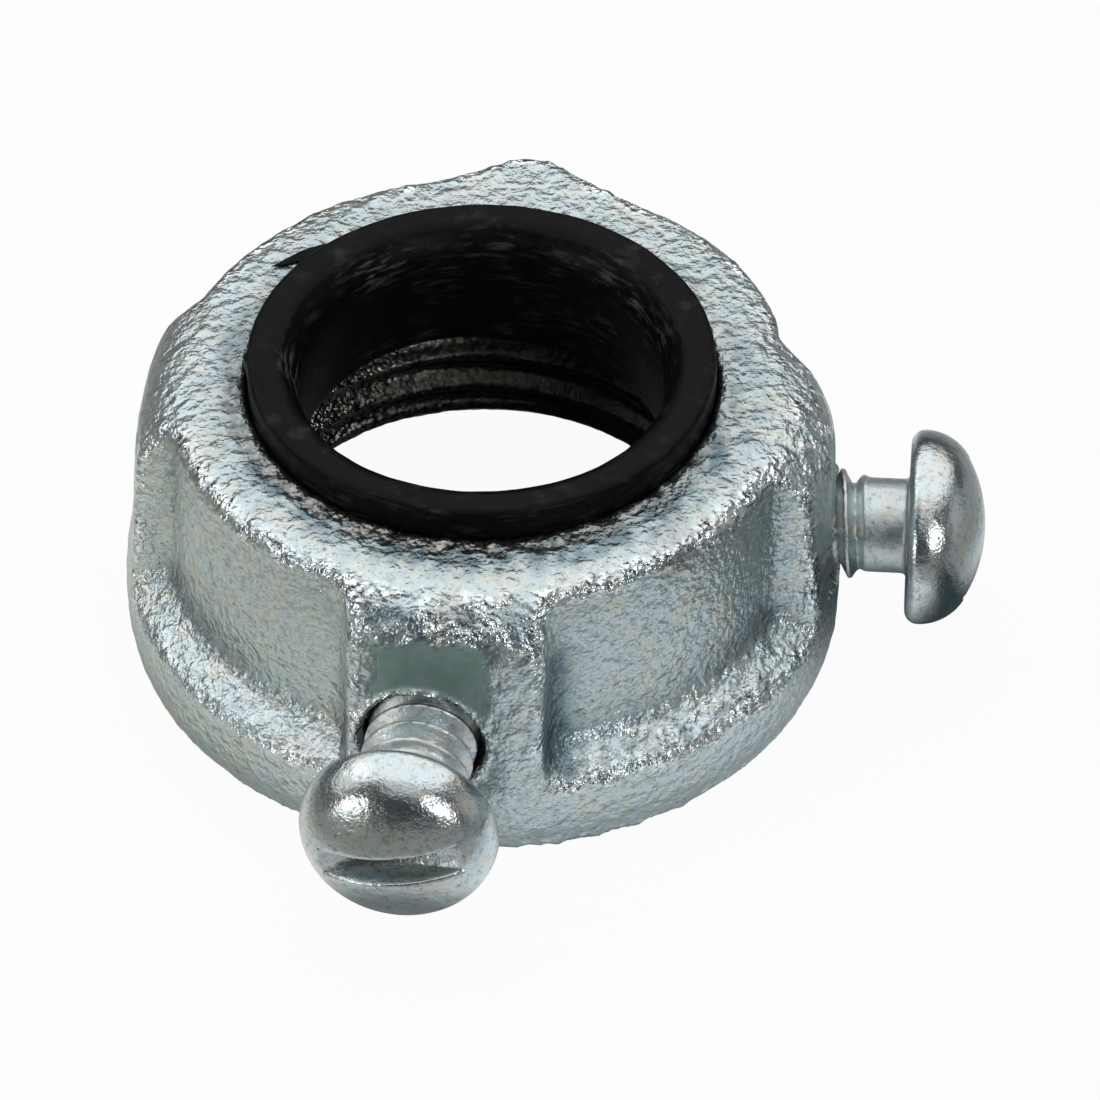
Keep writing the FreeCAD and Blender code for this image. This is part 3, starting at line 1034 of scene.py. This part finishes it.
@dataclass(frozen=True)
class PlateZones:
    """Where the plate gets painted shade, a painted black shadow, nodules with painted glints, or stains.

    A stain is given by its direction, radius, height and size.
    """

    trough_reach: float = 11.1
    trough_ragged: float = 0.9
    trough_edge: float = 0.4
    stains: tuple[tuple[float, float, float, float], ...] = (
        (-45.5, 13.75, 12.8, 0.9), (-50.0, 13.8, 12.7, 0.6), (21.4, 14.0, 13.0, 0.7),
    )

    @staticmethod
    def hollow(skin: Skin, ledge: np.ndarray) -> np.ndarray:
        """Where shade is painted on the plate: inner corners, a painted shadow ring round the liner, dark
        shoulder patches and dark pits on the right ledge.

        Args:
            skin: The skin's vertices.
            ledge: Weight of the pocket floors.

        Returns:
            Weights from 0 to 1.
        """
        height, radius = skin.height, skin.radius
        # Painted shade in inner corners and at the wall roots.
        inner = 0.42 * Band.INNER_BEND.rise(-skin.bend) * (1 - 0.4 * ledge)
        corner = Band.CORE_WALL.rise(radius) * Band.FLOOR_ROOT.fall(radius) * Band.LOW_WALL.fall(height)
        inner = inner + 0.5 * corner * (Spot.RIGHT_CORNER.on(skin) + 0.6 * Spot.LEFT_CORNER.on(skin))
        root = Band.ROOT_START.rise(height) * Band.ROOT_END.fall(height) * Band.CORE_WALL.rise(radius)
        inner = inner + 0.9 * root * Spot.BOSS_ROOT.on(skin)
        # Painted shadow ring round the liner, patchy.
        ring = Band.WIDE_RING.fall(radius) * (0.2 + 0.9 * Spot.FRONT_RING.on(skin))
        ring = ring + 0.95 * Band.NARROW_RING.fall(radius) * Spot.LEFT_RING.on(skin)
        ring = ring * (0.45 + 0.85 * Band.RING_PATCHES.rise(Lump.RING.at(skin.places)))
        # Painted dark patches on the front shoulder.
        front = Band.FRONT_HEIGHT.rise(height) * Band.FRONT_SLOPE.fall(skin.up) * Spot.FRONT_SHOULDER.on(skin)
        front = front * Band.FRONT_PATCHES.rise(Lump.FRONT.at(skin.places))
        # Painted shade in pits on the right ledge.
        pit_shade = ledge * Spot.RIGHT_LEDGE.on(skin) * Band.PITS.rise(Lump.PITS.at(skin.places))
        return np.clip(inner + Band.TOP_HEIGHT.rise(height) * ring + front + 0.75 * pit_shade, 0, 1)

    @staticmethod
    def nodular(skin: Skin, faces: Faces, burrs: np.ndarray) -> np.ndarray:
        """Where bright nodules of plate have grown on edges, shoulders, ledges and burrs, and where glints
        are painted at the bore's left.

        Args:
            skin: The skin's vertices.
            faces: Weights of the casting's faces.
            burrs: Weight of the burrs round the tapped holes.

        Returns:
            Weights from 0 to 1.
        """
        height, radius, up = skin.height, skin.radius, skin.up
        patchy = Band.EDGE_PATCHES.rise(Lump.EDGE.at(skin.places))
        clumps = Band.NODULE_CLUMPS.rise(Lump.NODULES.at(skin.places))
        edge = Band.EDGE_BEND.rise(skin.bend) * (1 - faces.bore) * Band.EDGE_RADIUS.rise(radius)
        shoulder = Band.SHOULDER_FOOT.rise(up) * Band.SHOULDER_TOP.fall(up)
        shoulder = shoulder * Band.SHOULDER_RADIUS.rise(radius) * Band.SHOULDER_HEIGHT.rise(height)
        shoulder = shoulder * (1 - 0.75 * Spot.BACK_LEFT.on(skin))
        plain_left = Spot.LEFT_WALL.on(skin) * Band.LEFT_HEIGHT.fall(height)
        weight = edge * (0.2 + 0.8 * patchy) + 0.7 * shoulder * clumps
        weight = weight + faces.ledge * (0.22 * patchy + 0.45 * clumps * Spot.RIGHT_LEDGE.on(skin))
        weight = weight * (1 - 0.75 * plain_left)
        boss = Spot.RIGHT_BOSS.on(skin) * Band.BOSS_RADIUS.rise(radius) * Band.BOSS_SLOPE.rise(up)
        weight = weight + 0.6 * clumps * boss
        return np.clip(weight + 0.7 * burrs + 0.9 * faces.bore * Spot.BORE_LEFT.on(skin), 0, 1)

    def trough_shadow(self, skin: Skin) -> np.ndarray:
        """Weight of the painted black shadow in the ragged trough between the liner and the top face, at the
        front half.
        """
        reach = self.trough_reach + self.trough_ragged * Lump.TROUGH.at(skin.places)
        trough_shadow = (1 - ramp(skin.radius, reach, reach + self.trough_edge)) * Band.TOP_HEIGHT.rise(skin.height)
        return 0.85 * trough_shadow * Spot.FRONT_HALF.on(skin)

    def stained(self, skin: Skin) -> np.ndarray:
        """Weight of the brown stains."""
        weight = np.zeros(len(skin.places))
        for turn, radius, height, size in self.stains:
            angle = math.radians(turn)
            spot = np.array([radius * math.cos(angle), radius * math.sin(angle), height])
            weight += bell(np.linalg.norm(skin.places - spot, axis=1), 0, size)
        return np.clip(weight, 0, 1)


@dataclass
class PlatedCasting:
    """The bushing body: a remeshed copy of its solid with a cast skin and the conduit thread."""

    node: str = "bushing_body"
    voxel: float = 0.204
    soften_share: float = 0.5
    soften_rounds: int = 3
    round_rounds: int = 6
    seat_floor: float = 8.8
    ledge_top: float = 6.0
    past_solid: tuple[float, float, float] = (0.1, 0.0, 0.25)
    holes: TappedHoles = TappedHoles()
    relief: CastRelief = CastRelief()
    thread: ConduitThread = ConduitThread()
    plate: PlateZones = PlateZones()

    def build(self, frame: Mapping[str, Any]) -> bpy.types.Object:
        """Makes the piece and puts it in the place of its solid.

        Args:
            frame: The loaded frame.

        Returns:
            The finished piece.
        """
        source = frame["nodes"][self.node]
        box = read_places(source.data)
        piece = self._remeshed(source)
        mesh = piece.data
        screws = [ScrewLine.of(frame, name) for name in ("set_screw", "bonding_screw")]
        self._soften(mesh, screws)
        zones = self._shape(mesh, screws, (box.min(axis=0), box.max(axis=0)))
        for zone, values in zones.items():
            write_zone(mesh, zone, values)
        mesh.shade_smooth()
        mesh.materials.clear()
        mesh.materials.append(CastZinc().make())
        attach(piece, "root")
        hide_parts(self.node)
        return piece

    def _remeshed(self, source: bpy.types.Object) -> bpy.types.Object:
        """A copy of the solid with an even skin of small faces and softened edges.

        Args:
            source: The solid's object.

        Returns:
            The copy, linked to the scene.
        """
        piece = bpy.data.objects.new("plated_casting", source.data.copy())
        bpy.context.scene.collection.objects.link(piece)
        skin = piece.modifiers.new("skin", "REMESH")
        skin.mode = "VOXEL"
        skin.voxel_size = self.voxel * MM
        soften = piece.modifiers.new("soften", "SMOOTH")
        soften.factor = self.soften_share
        soften.iterations = self.soften_rounds
        graph = bpy.context.evaluated_depsgraph_get()
        mesh = bpy.data.meshes.new_from_object(piece.evaluated_get(graph))
        piece.modifiers.clear()
        piece.data = mesh
        return piece

    def _soften(self, mesh: bpy.types.Mesh, screws: Sequence[ScrewLine]) -> None:
        """Rounds the cast edges further, but not the bore, the tapped holes and the lower rim.

        Args:
            mesh: The remeshed copy.
            screws: Lines of the tapped holes.
        """
        places = read_places(mesh)
        rough = Round(places)
        kept = np.maximum(Band.THROAT_SIDE.fall(rough.radius), Band.LOWER_RIM.fall(rough.height))
        for screw in screws:
            along, away = screw.split(places)
            kept = np.maximum(kept, (along > 0) * Band.HOLE_SURROUND.fall(away))
        soft = relaxed(places, read_edges(mesh), self.round_rounds)
        write_places(mesh, places + (1 - kept)[:, None] * (soft - places))

    def _shape(
        self, mesh: bpy.types.Mesh, screws: Sequence[ScrewLine], box: tuple[np.ndarray, np.ndarray],
    ) -> dict[Zone, np.ndarray]:
        """Gives the copy its cast skin, thread and burrs.

        Args:
            mesh: The remeshed copy.
            screws: Lines of the tapped holes.
            box: Lowest and highest corner of the solid.

        Returns:
            The vertex values that the finish reads.
        """
        skin = Skin.of(mesh)
        faces = Faces.of(skin, self.thread.high, self.seat_floor, self.ledge_top)
        tapping = self.holes.measure(skin, screws)
        cast = (1 - faces.bore) * (1 - faces.seat) * (1 - tapping.hole) * (1 - 0.9 * tapping.flat)
        depth = cast * self.relief.depth(skin, faces)
        places = self.relief.leaning(skin.places + skin.normals * depth[:, None] + tapping.moves, skin)
        places = self.thread.cut(places, skin, faces.bore * (1 - tapping.hole))
        places = self.holes.cleared(places, screws)
        write_places(mesh, np.clip(places, box[0], box[1] + np.array(self.past_solid)))
        # Weight of the painted shade, which also thins the nodules.
        hollow = self.plate.hollow(skin, faces.ledge)
        trough_shadow = self.plate.trough_shadow(skin)
        grown = (1 - tapping.bare) * (1 - tapping.hole) * (1 - faces.under) * (1 - 0.7 * hollow)
        grown = grown * self.plate.nodular(skin, faces, tapping.ring)
        return {
            Zone.HOLLOW: hollow,
            Zone.MACHINED: tapping.bare,
            # Painted deep shade: the bore's wall, the undersides, the sunk hole mouths and the trough by the
            # liner.
            Zone.BORE: np.maximum.reduce([faces.bore, faces.under * 0.6, tapping.mouth, trough_shadow]),
            # Painted glints in the trough by the liner.
            Zone.NODULAR: np.maximum(grown, 0.45 * trough_shadow),
            Zone.STAINED: self.plate.stained(skin),
        }


@dataclass
class ThroatLiner:
    """The black ring in the throat, turned from its outline, with a soft lip, a nub and a sliver of flash.

    The flash is given by points of direction in degrees, radius and half width.
    """

    node: str = "throat_liner"
    outer: float = 10.25
    throat: float = 7.95
    low: float = 9.0
    high: float = 14.9
    bead: float = 0.3
    bead_low: float = 10.2
    bead_high: float = 11.0
    foot_middle: float = 9.1
    wall_start: float = 12.0
    wall_middle: float = 9.2
    rim_round: float = 0.3
    lip_flare: float = 0.9
    lip_depth: float = 2.0
    lip_gap: float = 0.25
    lip_start: float = 0.06
    scuff_height: float = 13.9
    scuff_width: float = 0.6
    around: int = 320
    nub_angle: float = -176.3
    nub_rise: float = 0.16
    nub_spread: float = 1.1
    wave: float = 0.06
    grain: float = 0.025
    top_depth: float = 0.1
    top_share: float = 0.6
    flash: tuple[tuple[float, float, float], ...] = (
        (126.0, 10.30, 0.30), (130.0, 10.65, 0.50), (133.8, 10.95, 0.46), (136.0, 11.12, 0.42),
        (138.4, 11.28, 0.37), (141.3, 11.49, 0.24), (144.0, 11.66, 0.15), (146.0, 11.88, 0.02),
    )
    flash_height: float = 13.60
    flash_thick: float = 0.16
    flash_steps: int = 40
    flash_sides: int = 10
    flash_ragged: float = 0.05

    def build(self, frame: Mapping[str, Any]) -> bpy.types.Object:
        """Makes the piece and puts it in the place of its solid.

        Args:
            frame: The loaded frame.

        Returns:
            The finished piece.
        """
        outline = self._outline()
        angles = np.linspace(0, 2 * math.pi, self.around, endpoint=False)
        radii = np.repeat(outline[:, :1], self.around, axis=1)
        heights = np.repeat(outline[:, 1:], self.around, axis=1)
        places = np.stack([radii * np.cos(angles), radii * np.sin(angles), heights], axis=-1)
        places = self._worn(places.reshape(-1, 3))
        faces = ring_faces(len(outline), self.around, closed=True)
        flash, flash_faces = self._flash(len(places))
        piece = new_piece("throat_liner_moulding", np.vstack([places, flash]), faces + flash_faces)
        write_zone(piece.data, Zone.SCUFFED, self._scuffed(read_places(piece.data)))
        piece.data.materials.append(BlackPlastic().make())
        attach(piece, "root")
        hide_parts(self.node)
        return piece

    def _scuffed(self, places: np.ndarray) -> np.ndarray:
        """Weight of the lighter grey streaks inside the lip, at its right, its back left and its left."""
        ring = Round(places)
        band = bell(ring.height, self.scuff_height, self.scuff_width) * Band.LIP_INSIDE.fall(ring.radius)
        lip_streak = 0.4 * Spot.LIP_RIGHT.on(ring) + 0.9 * Spot.LIP_BACK_LEFT.on(ring) + Spot.LIP_LEFT.on(ring)
        return band * np.clip(lip_streak, 0, 1)

    def _outline(self) -> np.ndarray:
        """Radius and height along the closed outline, from the foot outwards, up and back down the throat."""
        foot = [(self.throat, self.low), (self.foot_middle, self.low), (self.outer, self.low)]
        foot += [(self.outer, self.bead_low)]
        bead = [(self.outer + self.bead, self.bead_low), (self.outer + self.bead, self.bead_high)]
        wall = [(self.outer, self.bead_high)]
        wall += [(self.outer, z) for z in np.linspace(self.wall_start, self.high - self.rim_round, 12)]
        quarter = np.linspace(0, math.pi / 2, 8)[1:]
        rim = [
            (self.outer - self.rim_round * (1 - math.cos(a)), self.high - self.rim_round * (1 - math.sin(a)))
            for a in quarter
        ]
        lip_top = self.throat + self.lip_flare
        flat_radii = np.linspace(self.outer - self.rim_round, lip_top + self.lip_gap, 8)[1:]
        flat = [(radius, self.high) for radius in flat_radii]
        curve = (self.lip_flare ** 2 + self.lip_depth ** 2) / (2 * self.lip_flare)
        drops = self.lip_depth * np.linspace(self.lip_start, 1, 18)
        lip = [
            (self.throat + curve - math.sqrt(curve ** 2 - (self.lip_depth - drop) ** 2), self.high - drop)
            for drop in drops
        ]
        throat = [(self.throat, z) for z in np.linspace(self.high - self.lip_depth, self.low, 22)[1:-1]]
        return np.array(foot + bead + wall + rim + flat + lip + throat)

    def _worn(self, places: np.ndarray) -> np.ndarray:
        """The turned places with a slightly uneven moulding and the nub at its side."""
        ring = Round(places)
        radius = ring.radius
        uneven = self.wave * Lump.LINER_WAVE.at(places) + self.grain * Lump.LINER_GRAIN.at(places)
        inward = -np.abs(uneven) * Band.LINER_OPEN.rise(ring.height)
        outside = Band.NUB_RADIUS.rise(radius - self.outer) * Band.NUB_HEIGHT.rise(ring.height)
        nub = self.nub_rise * ring.near(self.nub_angle, self.nub_spread) * outside
        worn = places.copy()
        scale = (radius + np.where(radius > self.wall_middle, inward, -inward) + nub) / radius
        worn[:, :2] *= scale[:, None]
        on_top = ring.height > self.high - self.top_depth
        worn[:, 2] += np.where(on_top, -np.abs(uneven) * self.top_share, 0)
        return worn

    def _flash(self, start: int) -> tuple[np.ndarray, list[Sequence[int]]]:
        """A thin sliver of flash that leaves the ring and lies on the casting.

        Args:
            start: Number of its first vertex.

        Returns:
            Its vertices and faces.
        """
        steps, sides = self.flash_steps, self.flash_sides
        turns, reaches, halves = np.array(self.flash).T
        spins = np.linspace(0, 2 * math.pi, sides, endpoint=False)
        rings = []
        for turn in np.linspace(turns[0], turns[-1], steps):
            out = np.array([math.cos(math.radians(turn)), math.sin(math.radians(turn)), 0])
            half = np.interp(turn, turns, halves)
            tall = self.flash_thick * half / max(halves)
            middle = out * np.interp(turn, turns, reaches) + np.array([0, 0, self.flash_height])
            for spin in spins:
                rings.append(middle + out * half * math.cos(spin) + np.array([0, 0, tall * math.sin(spin)]))
        places = np.array(rings)
        places += self.flash_ragged * Lump.FLASH.at(places)[:, None] * np.array([1, 1, 0.4])
        faces = ring_faces(steps, sides, start)
        faces.append([start + side for side in range(sides)])
        faces.append([start + (steps - 1) * sides + side for side in reversed(range(sides))])
        return places, faces


@dataclass
class MachineScrew:
    """A slotted round-head screw with a rolled thread, built round its solid's line."""

    node: str
    slot_turn: float
    seed: float
    length: float = 7.9
    thread_radius: float = 2.413
    thread_root: float = 1.80
    thread_pitch: float = 1.058
    thread_turn: float = 0.0
    neck_radius: float = 2.085
    neck_length: float = 1.7
    neck_fillet: float = 0.2
    fillet_middle: float = 0.06
    runout: float = 0.8
    root_share: float = 0.2
    flank_share: float = 0.66
    thread_step: float = 0.05
    uneven: float = 0.02
    uneven_size: float = 1.7
    tip_chamfer: float = 0.5
    tip_share: float = 0.96
    head_edge: float = 0.6
    head_corner: float = 2.3
    slot_width: float = 1.4
    slot_depth: float = 1.3
    slot_dish: float = 0.45
    slot_round: float = 0.10
    sharp_from: float = 50.0
    spokes: int = 96
    across_rows: int = 72

    def build(self, frame: Mapping[str, Any]) -> bpy.types.Object:
        """Makes the piece and puts it in the place of its solid.

        Args:
            frame: The loaded frame.

        Returns:
            The finished piece.
        """
        line = ScrewLine.of(frame, self.node)
        self._measure(line)
        angles = self._angles()
        rings = self._rings(angles)
        around = 2 * (len(angles) - 1)
        places = np.vstack([rings, [[0.0, 0.0, 0.0]]])
        faces = ring_faces(len(rings) // around, around)
        base = len(rings) - around
        faces += [(base + spoke, base + (spoke + 1) % around, len(rings)) for spoke in range(around)]
        top, top_faces = self._top(angles, len(places))
        places = np.vstack([places, top])
        faces = [tuple(reversed(face)) for face in faces + top_faces]
        piece = new_piece(f"{self.node}_turned", self._placed(places, line), faces)
        piece.data.set_sharp_from_angle(angle=math.radians(self.sharp_from))
        along = line.split(read_places(piece.data))[0] - line.tip
        write_zone(piece.data, Zone.HEAD, Band.HEAD_START.rise(along - self.length))
        piece.data.materials.append(ScrewZinc().make())
        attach(piece, self.node)
        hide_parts(self.node)
        return piece

    def _measure(self, line: ScrewLine) -> None:
        """Works out the head's sizes from the solid."""
        self.head_radius = line.head_radius
        self.head_height = line.crown - line.tip - self.length
        rise = self.head_height - self.head_edge
        corner = self.head_radius - self.head_corner
        self.dome = (rise ** 2 + corner ** 2 - self.head_corner ** 2) / (2 * (rise - self.head_corner))
        self.blend_radius = corner * self.dome / (self.dome - self.head_corner)
        self.crown = self.length + self.head_height

    def _dome(self, radius: np.ndarray) -> np.ndarray:
        """Place of the dome along the axis at the given distance from the axis."""
        return self.crown - self.dome + np.sqrt(self.dome ** 2 - radius ** 2)

    def _slot_rows(self) -> list[tuple[float, float, bool]]:
        """Rows across half of the slot: distance from its middle, shift, and whether the floor has it."""
        half, edge = self.slot_width / 2, self.slot_round
        return [
            (0.0, 0.0, True), (half * 0.5, 0.0, True), (half - edge, 0.0, True),
            (half - 0.35 * edge, 0.3 * edge, True), (half - 0.02, edge, True),
            (half, 0.9 * edge, False), (half + 0.35 * edge, 0.35 * edge, False), (half + edge, 0.0, False),
        ]

    def _rows(self) -> list[tuple[float, float, bool]]:
        """All rows across the head from one side of the slot to the other."""
        limit = self.blend_radius
        half = self._slot_rows()
        last = math.asin(half[-1][0] / limit)
        steps = self.spokes // 4
        half += [(limit * math.sin(a), 0.0, False) for a in np.linspace(last, math.pi / 2, steps)[1:]]
        return [(-x, shift, floor) for x, shift, floor in reversed(half[1:])] + half

    def _angles(self) -> np.ndarray:
        """Angles of the spokes on one side, one for each row across the head."""
        return np.arcsin(np.clip([x / self.blend_radius for x, _, _ in self._rows()], -1, 1))

    def _around(self, angles: np.ndarray) -> np.ndarray:
        """Angles of all spokes in order."""
        return np.concatenate([angles, math.pi - angles[-2:0:-1]])

    def _rings(self, angles: np.ndarray) -> np.ndarray:
        """Rings from the edge of the dome down the head, neck and thread to the tip, in local places."""
        spin = self._around(angles)
        rings = []
        corner_start = math.acos((self.blend_radius - self.head_radius + self.head_corner) / self.head_corner)
        for angle in np.linspace(corner_start, 0, 12):
            radius = self.head_radius - self.head_corner * (1 - math.cos(angle))
            rings.append((self.length + self.head_edge + self.head_corner * math.sin(angle), radius))
        for angle in np.linspace(0, math.pi / 2, 7)[1:]:
            radius = self.head_radius - self.head_edge * (1 - math.cos(angle))
            rings.append((self.length + self.head_edge * (1 - math.sin(angle)), radius))
        neck = self.neck_radius + self.neck_fillet
        for radius in np.linspace(self.head_radius - self.head_edge, neck, 6)[1:]:
            rings.append((self.length, radius))
        rings.append((self.length - self.fillet_middle, self.neck_radius + self.fillet_middle))
        for along in np.linspace(self.length - self.neck_fillet, self.length - self.neck_length, 8):
            rings.append((along, self.neck_radius))
        thread_end = self.length - self.neck_length
        threaded = np.arange(thread_end - self.thread_step, 0, -self.thread_step)
        places = [self._ring(along, np.full(len(spin), radius), spin) for along, radius in rings]
        for along in threaded:
            places.append(self._ring(along, self._thread(along, spin), spin))
        tip = min(self.thread_root, self.thread_radius - self.tip_chamfer)
        places.append(self._ring(0.0, np.full(len(spin), tip * self.tip_share), spin))
        return np.vstack(places)

    def _thread(self, along: float, spin: np.ndarray) -> np.ndarray:
        """Radius of the rolled thread at one place along the screw, for each spoke."""
        phase = np.mod(along / self.thread_pitch - spin / (2 * math.pi) + self.thread_turn, 1.0)
        crest = np.clip((np.abs(phase - 0.5) * 2 - self.root_share) / self.flank_share, 0, 1)
        radius = self.thread_root + (self.thread_radius - self.thread_root) * crest
        end = self.length - self.neck_length
        share = float(ramp(np.array(end - along), 0.0, self.runout))
        radius = self.neck_radius + (radius - self.neck_radius) * share
        chamfer = self.thread_radius - self.tip_chamfer + along
        return np.minimum(radius, chamfer)

    @staticmethod
    def _ring(along: float, radius: np.ndarray, spin: np.ndarray) -> np.ndarray:
        """One ring of places: along the axis, along the slot and across it."""
        return np.stack([np.full(len(spin), along), radius * np.cos(spin), radius * np.sin(spin)], axis=-1)

    def _top(self, angles: np.ndarray, start: int) -> tuple[np.ndarray, list[Sequence[int]]]:
        """The dome with its slot, as rows across the head whose ends are on the first ring.

        Args:
            angles: Angles of the spokes on one side.
            start: Number of its first vertex.

        Returns:
            Its own vertices and its faces.
        """
        rows = self._rows()
        count = len(rows) - 1
        around = 2 * count
        inner = self.across_rows - 1
        places = []
        for x, shift, is_floor in rows[1:-1]:
            reach = math.sqrt(max(self.blend_radius ** 2 - x ** 2, 0))
            y = reach * np.cos(np.linspace(0, math.pi, self.across_rows + 1)[1:-1])
            dome = self._dome(np.hypot(x, y))
            floor = self.crown - self.slot_depth + self.slot_dish * (y / self.blend_radius) ** 2
            level = np.minimum(dome - self.slot_round * 0.1, floor + shift) if is_floor else dome - shift
            places.append(np.stack([level, y, np.full(len(y), x)], axis=-1))

        def number(row: int, place: int) -> int:
            """Vertex number of a place in a row, counted from the spoke on the first side."""
            if place == 0 or row in (0, count):
                return row
            if place == self.across_rows:
                return around - row
            return start + (row - 1) * inner + place - 1

        faces: list[Sequence[int]] = []
        for row in range(count):
            for place in range(self.across_rows):
                corners = [number(row, place), number(row + 1, place),
                           number(row + 1, place + 1), number(row, place + 1)]
                face = list(dict.fromkeys(corners))
                if len(face) > 2:
                    faces.append(face)
        return np.vstack(places), faces

    def _placed(self, places: np.ndarray, line: ScrewLine) -> np.ndarray:
        """Local places turned and moved to the screw's line, with a slight unevenness."""
        uneven = lumps(places, self.uneven_size, self.seed)
        uneven = uneven * Band.HEAD_RISE.rise(places[:, 0] - self.length)
        places = places.copy()
        places[:, 0] -= self.uneven * np.abs(uneven)
        level = np.cross([0, 0, 1], line.axis)
        turn = math.radians(self.slot_turn)
        along_slot = math.cos(turn) * level + np.array([0, 0, math.sin(turn)])
        across_slot = -math.sin(turn) * level + np.array([0, 0, math.cos(turn)])
        spot = np.outer(places[:, 0] + line.tip, line.axis)
        spot += np.outer(places[:, 1], along_slot) + np.outer(places[:, 2], across_slot)
        return spot + np.array([0, 0, line.height])


@dataclass
class Softbox:
    """A rectangular lamp that faces the part. Its sizes are in metres."""

    name: str
    azimuth: float
    elevation: float
    width: float
    height: float
    radiance: float
    distance: float = 0.6

    def build(self, centre: Vector) -> None:
        """Adds the lamp.

        Args:
            centre: The point that it faces, in metres.
        """
        lamp = bpy.data.lights.new(self.name, "AREA")
        lamp.shape = "RECTANGLE"
        lamp.size = self.width
        lamp.size_y = self.height
        lamp.energy = self.radiance * math.pi * self.width * self.height
        toward = bearing(self.azimuth, self.elevation)
        holder = bpy.data.objects.new(self.name, lamp)
        holder.location = centre + toward * self.distance
        holder.rotation_euler = toward.to_track_quat("Z", "Y").to_euler()
        bpy.context.scene.collection.objects.link(holder)


@dataclass
class Studio:
    """White floor, dim room with a pale horizon, six lamps and the camera. Its sizes are in metres."""

    aim_height: float = 0.008
    floor_half: float = 3.0
    floor_drop: float = 0.00002
    horizon: Colour = (1, 1, 1, 1)
    horizon_from: float = 0.08
    horizon_to: float = 0.03
    ceiling: Colour = (0.05, 0.055, 0.06, 1)

    def build(self) -> None:
        """Adds the floor, the world, the lamps and the camera."""
        self._floor()
        self._world()
        centre = Vector((0, 0, self.aim_height))
        # Name, azimuth and elevation in degrees, width, height and radiance.
        for lamp in (
            Softbox("overhead_softbox", 180, 68, 1.45, 1.00, 1.35),
            Softbox("front_softbox", 5, 58, 0.50, 0.34, 0.7),
            Softbox("left_softbox", -47, 10, 0.20, 0.15, 6.0),
            Softbox("right_softbox", 37, 24, 0.17, 0.17, 8.0),
            Softbox("right_panel", 92, 14, 0.45, 0.30, 0.45),
            Softbox("left_panel", -94, 33, 0.52, 0.36, 0.95),
        ):
            lamp.build(centre)
        bpy.context.scene.view_settings.view_transform = "Standard"
        PhotoCamera().build()

    def _floor(self) -> None:
        """A wide sheet just under the part."""
        half = self.floor_half
        corners = np.array([(-half, -half), (half, -half), (half, half), (-half, half)]) / MM
        places = np.column_stack([corners, np.full(4, -self.floor_drop / MM)])
        floor = new_piece("paper_floor", places, [(0, 1, 2, 3)])
        floor.data.materials.append(PaperFloor().make())

    def _world(self) -> None:
        """A dim room whose horizon is white for the camera alone."""
        world = bpy.data.worlds.new("studio_room")
        world.use_nodes = True
        board = Board(world.node_tree)
        direction = board.add("ShaderNodeTexCoord", output="Generated")
        height = board.add("ShaderNodeSeparateXYZ", None, {0: direction}, "Z")
        seen = board.add("ShaderNodeLightPath", output="Is Camera Ray")
        low = height.step(self.horizon_from, self.horizon_to)
        colour = board.blend(low * seen, self.ceiling, self.horizon)
        background = board.add("ShaderNodeBackground", None, {"Color": colour, "Strength": 1.0})
        board.add("ShaderNodeOutputWorld", None, {"Surface": background})
        bpy.context.scene.world = world


@dataclass
class PhotoCamera:
    """The photograph's camera: where it stands and how long its lens is."""

    elevation: float = 42.71
    azimuth: float = 4.0
    distance: float = 372.8
    shift_right: float = -2.97
    shift_up: float = -2.43
    pixels_per_mm: float = 22.38
    picture: float = 1100.0
    sensor: float = 36.0

    def build(self) -> None:
        """Adds the camera and makes it the scene's."""
        azimuth = math.radians(self.azimuth)
        right = Vector((math.cos(azimuth), math.sin(azimuth), 0))
        ahead = -bearing(self.azimuth, self.elevation)
        up = right.cross(ahead)
        place = (-self.shift_right * right - self.shift_up * up - self.distance * ahead) * MM
        lens = bpy.data.cameras.new("photo_camera")
        lens.sensor_fit = "HORIZONTAL"
        lens.sensor_width = self.sensor
        lens.lens = self.pixels_per_mm * self.distance / self.picture * self.sensor
        lens.clip_start = 0.01
        camera = bpy.data.objects.new("photo_camera", lens)
        turned = Matrix((right, up, -ahead)).transposed().to_4x4()
        camera.matrix_world = Matrix.Translation(place) @ turned
        bpy.context.scene.collection.objects.link(camera)
        bpy.context.scene.camera = camera


def main() -> None:
    """Builds the dressed part and its studio, and logs the number of faces of each piece."""
    logging.basicConfig(level=logging.INFO, format="%(name)s: %(message)s")
    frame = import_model()
    assemblies = [
        PlatedCasting(),
        ThroatLiner(),
        MachineScrew("set_screw", slot_turn=11.0, seed=2.0),
        MachineScrew("bonding_screw", slot_turn=45.0, seed=6.0, thread_turn=0.35),
    ]
    for assembly in assemblies:
        piece = assembly.build(frame)
        LOG.info("%s: %d faces", piece.name, len(piece.data.polygons))
    Studio().build()


if __name__ == "__main__":
    main()
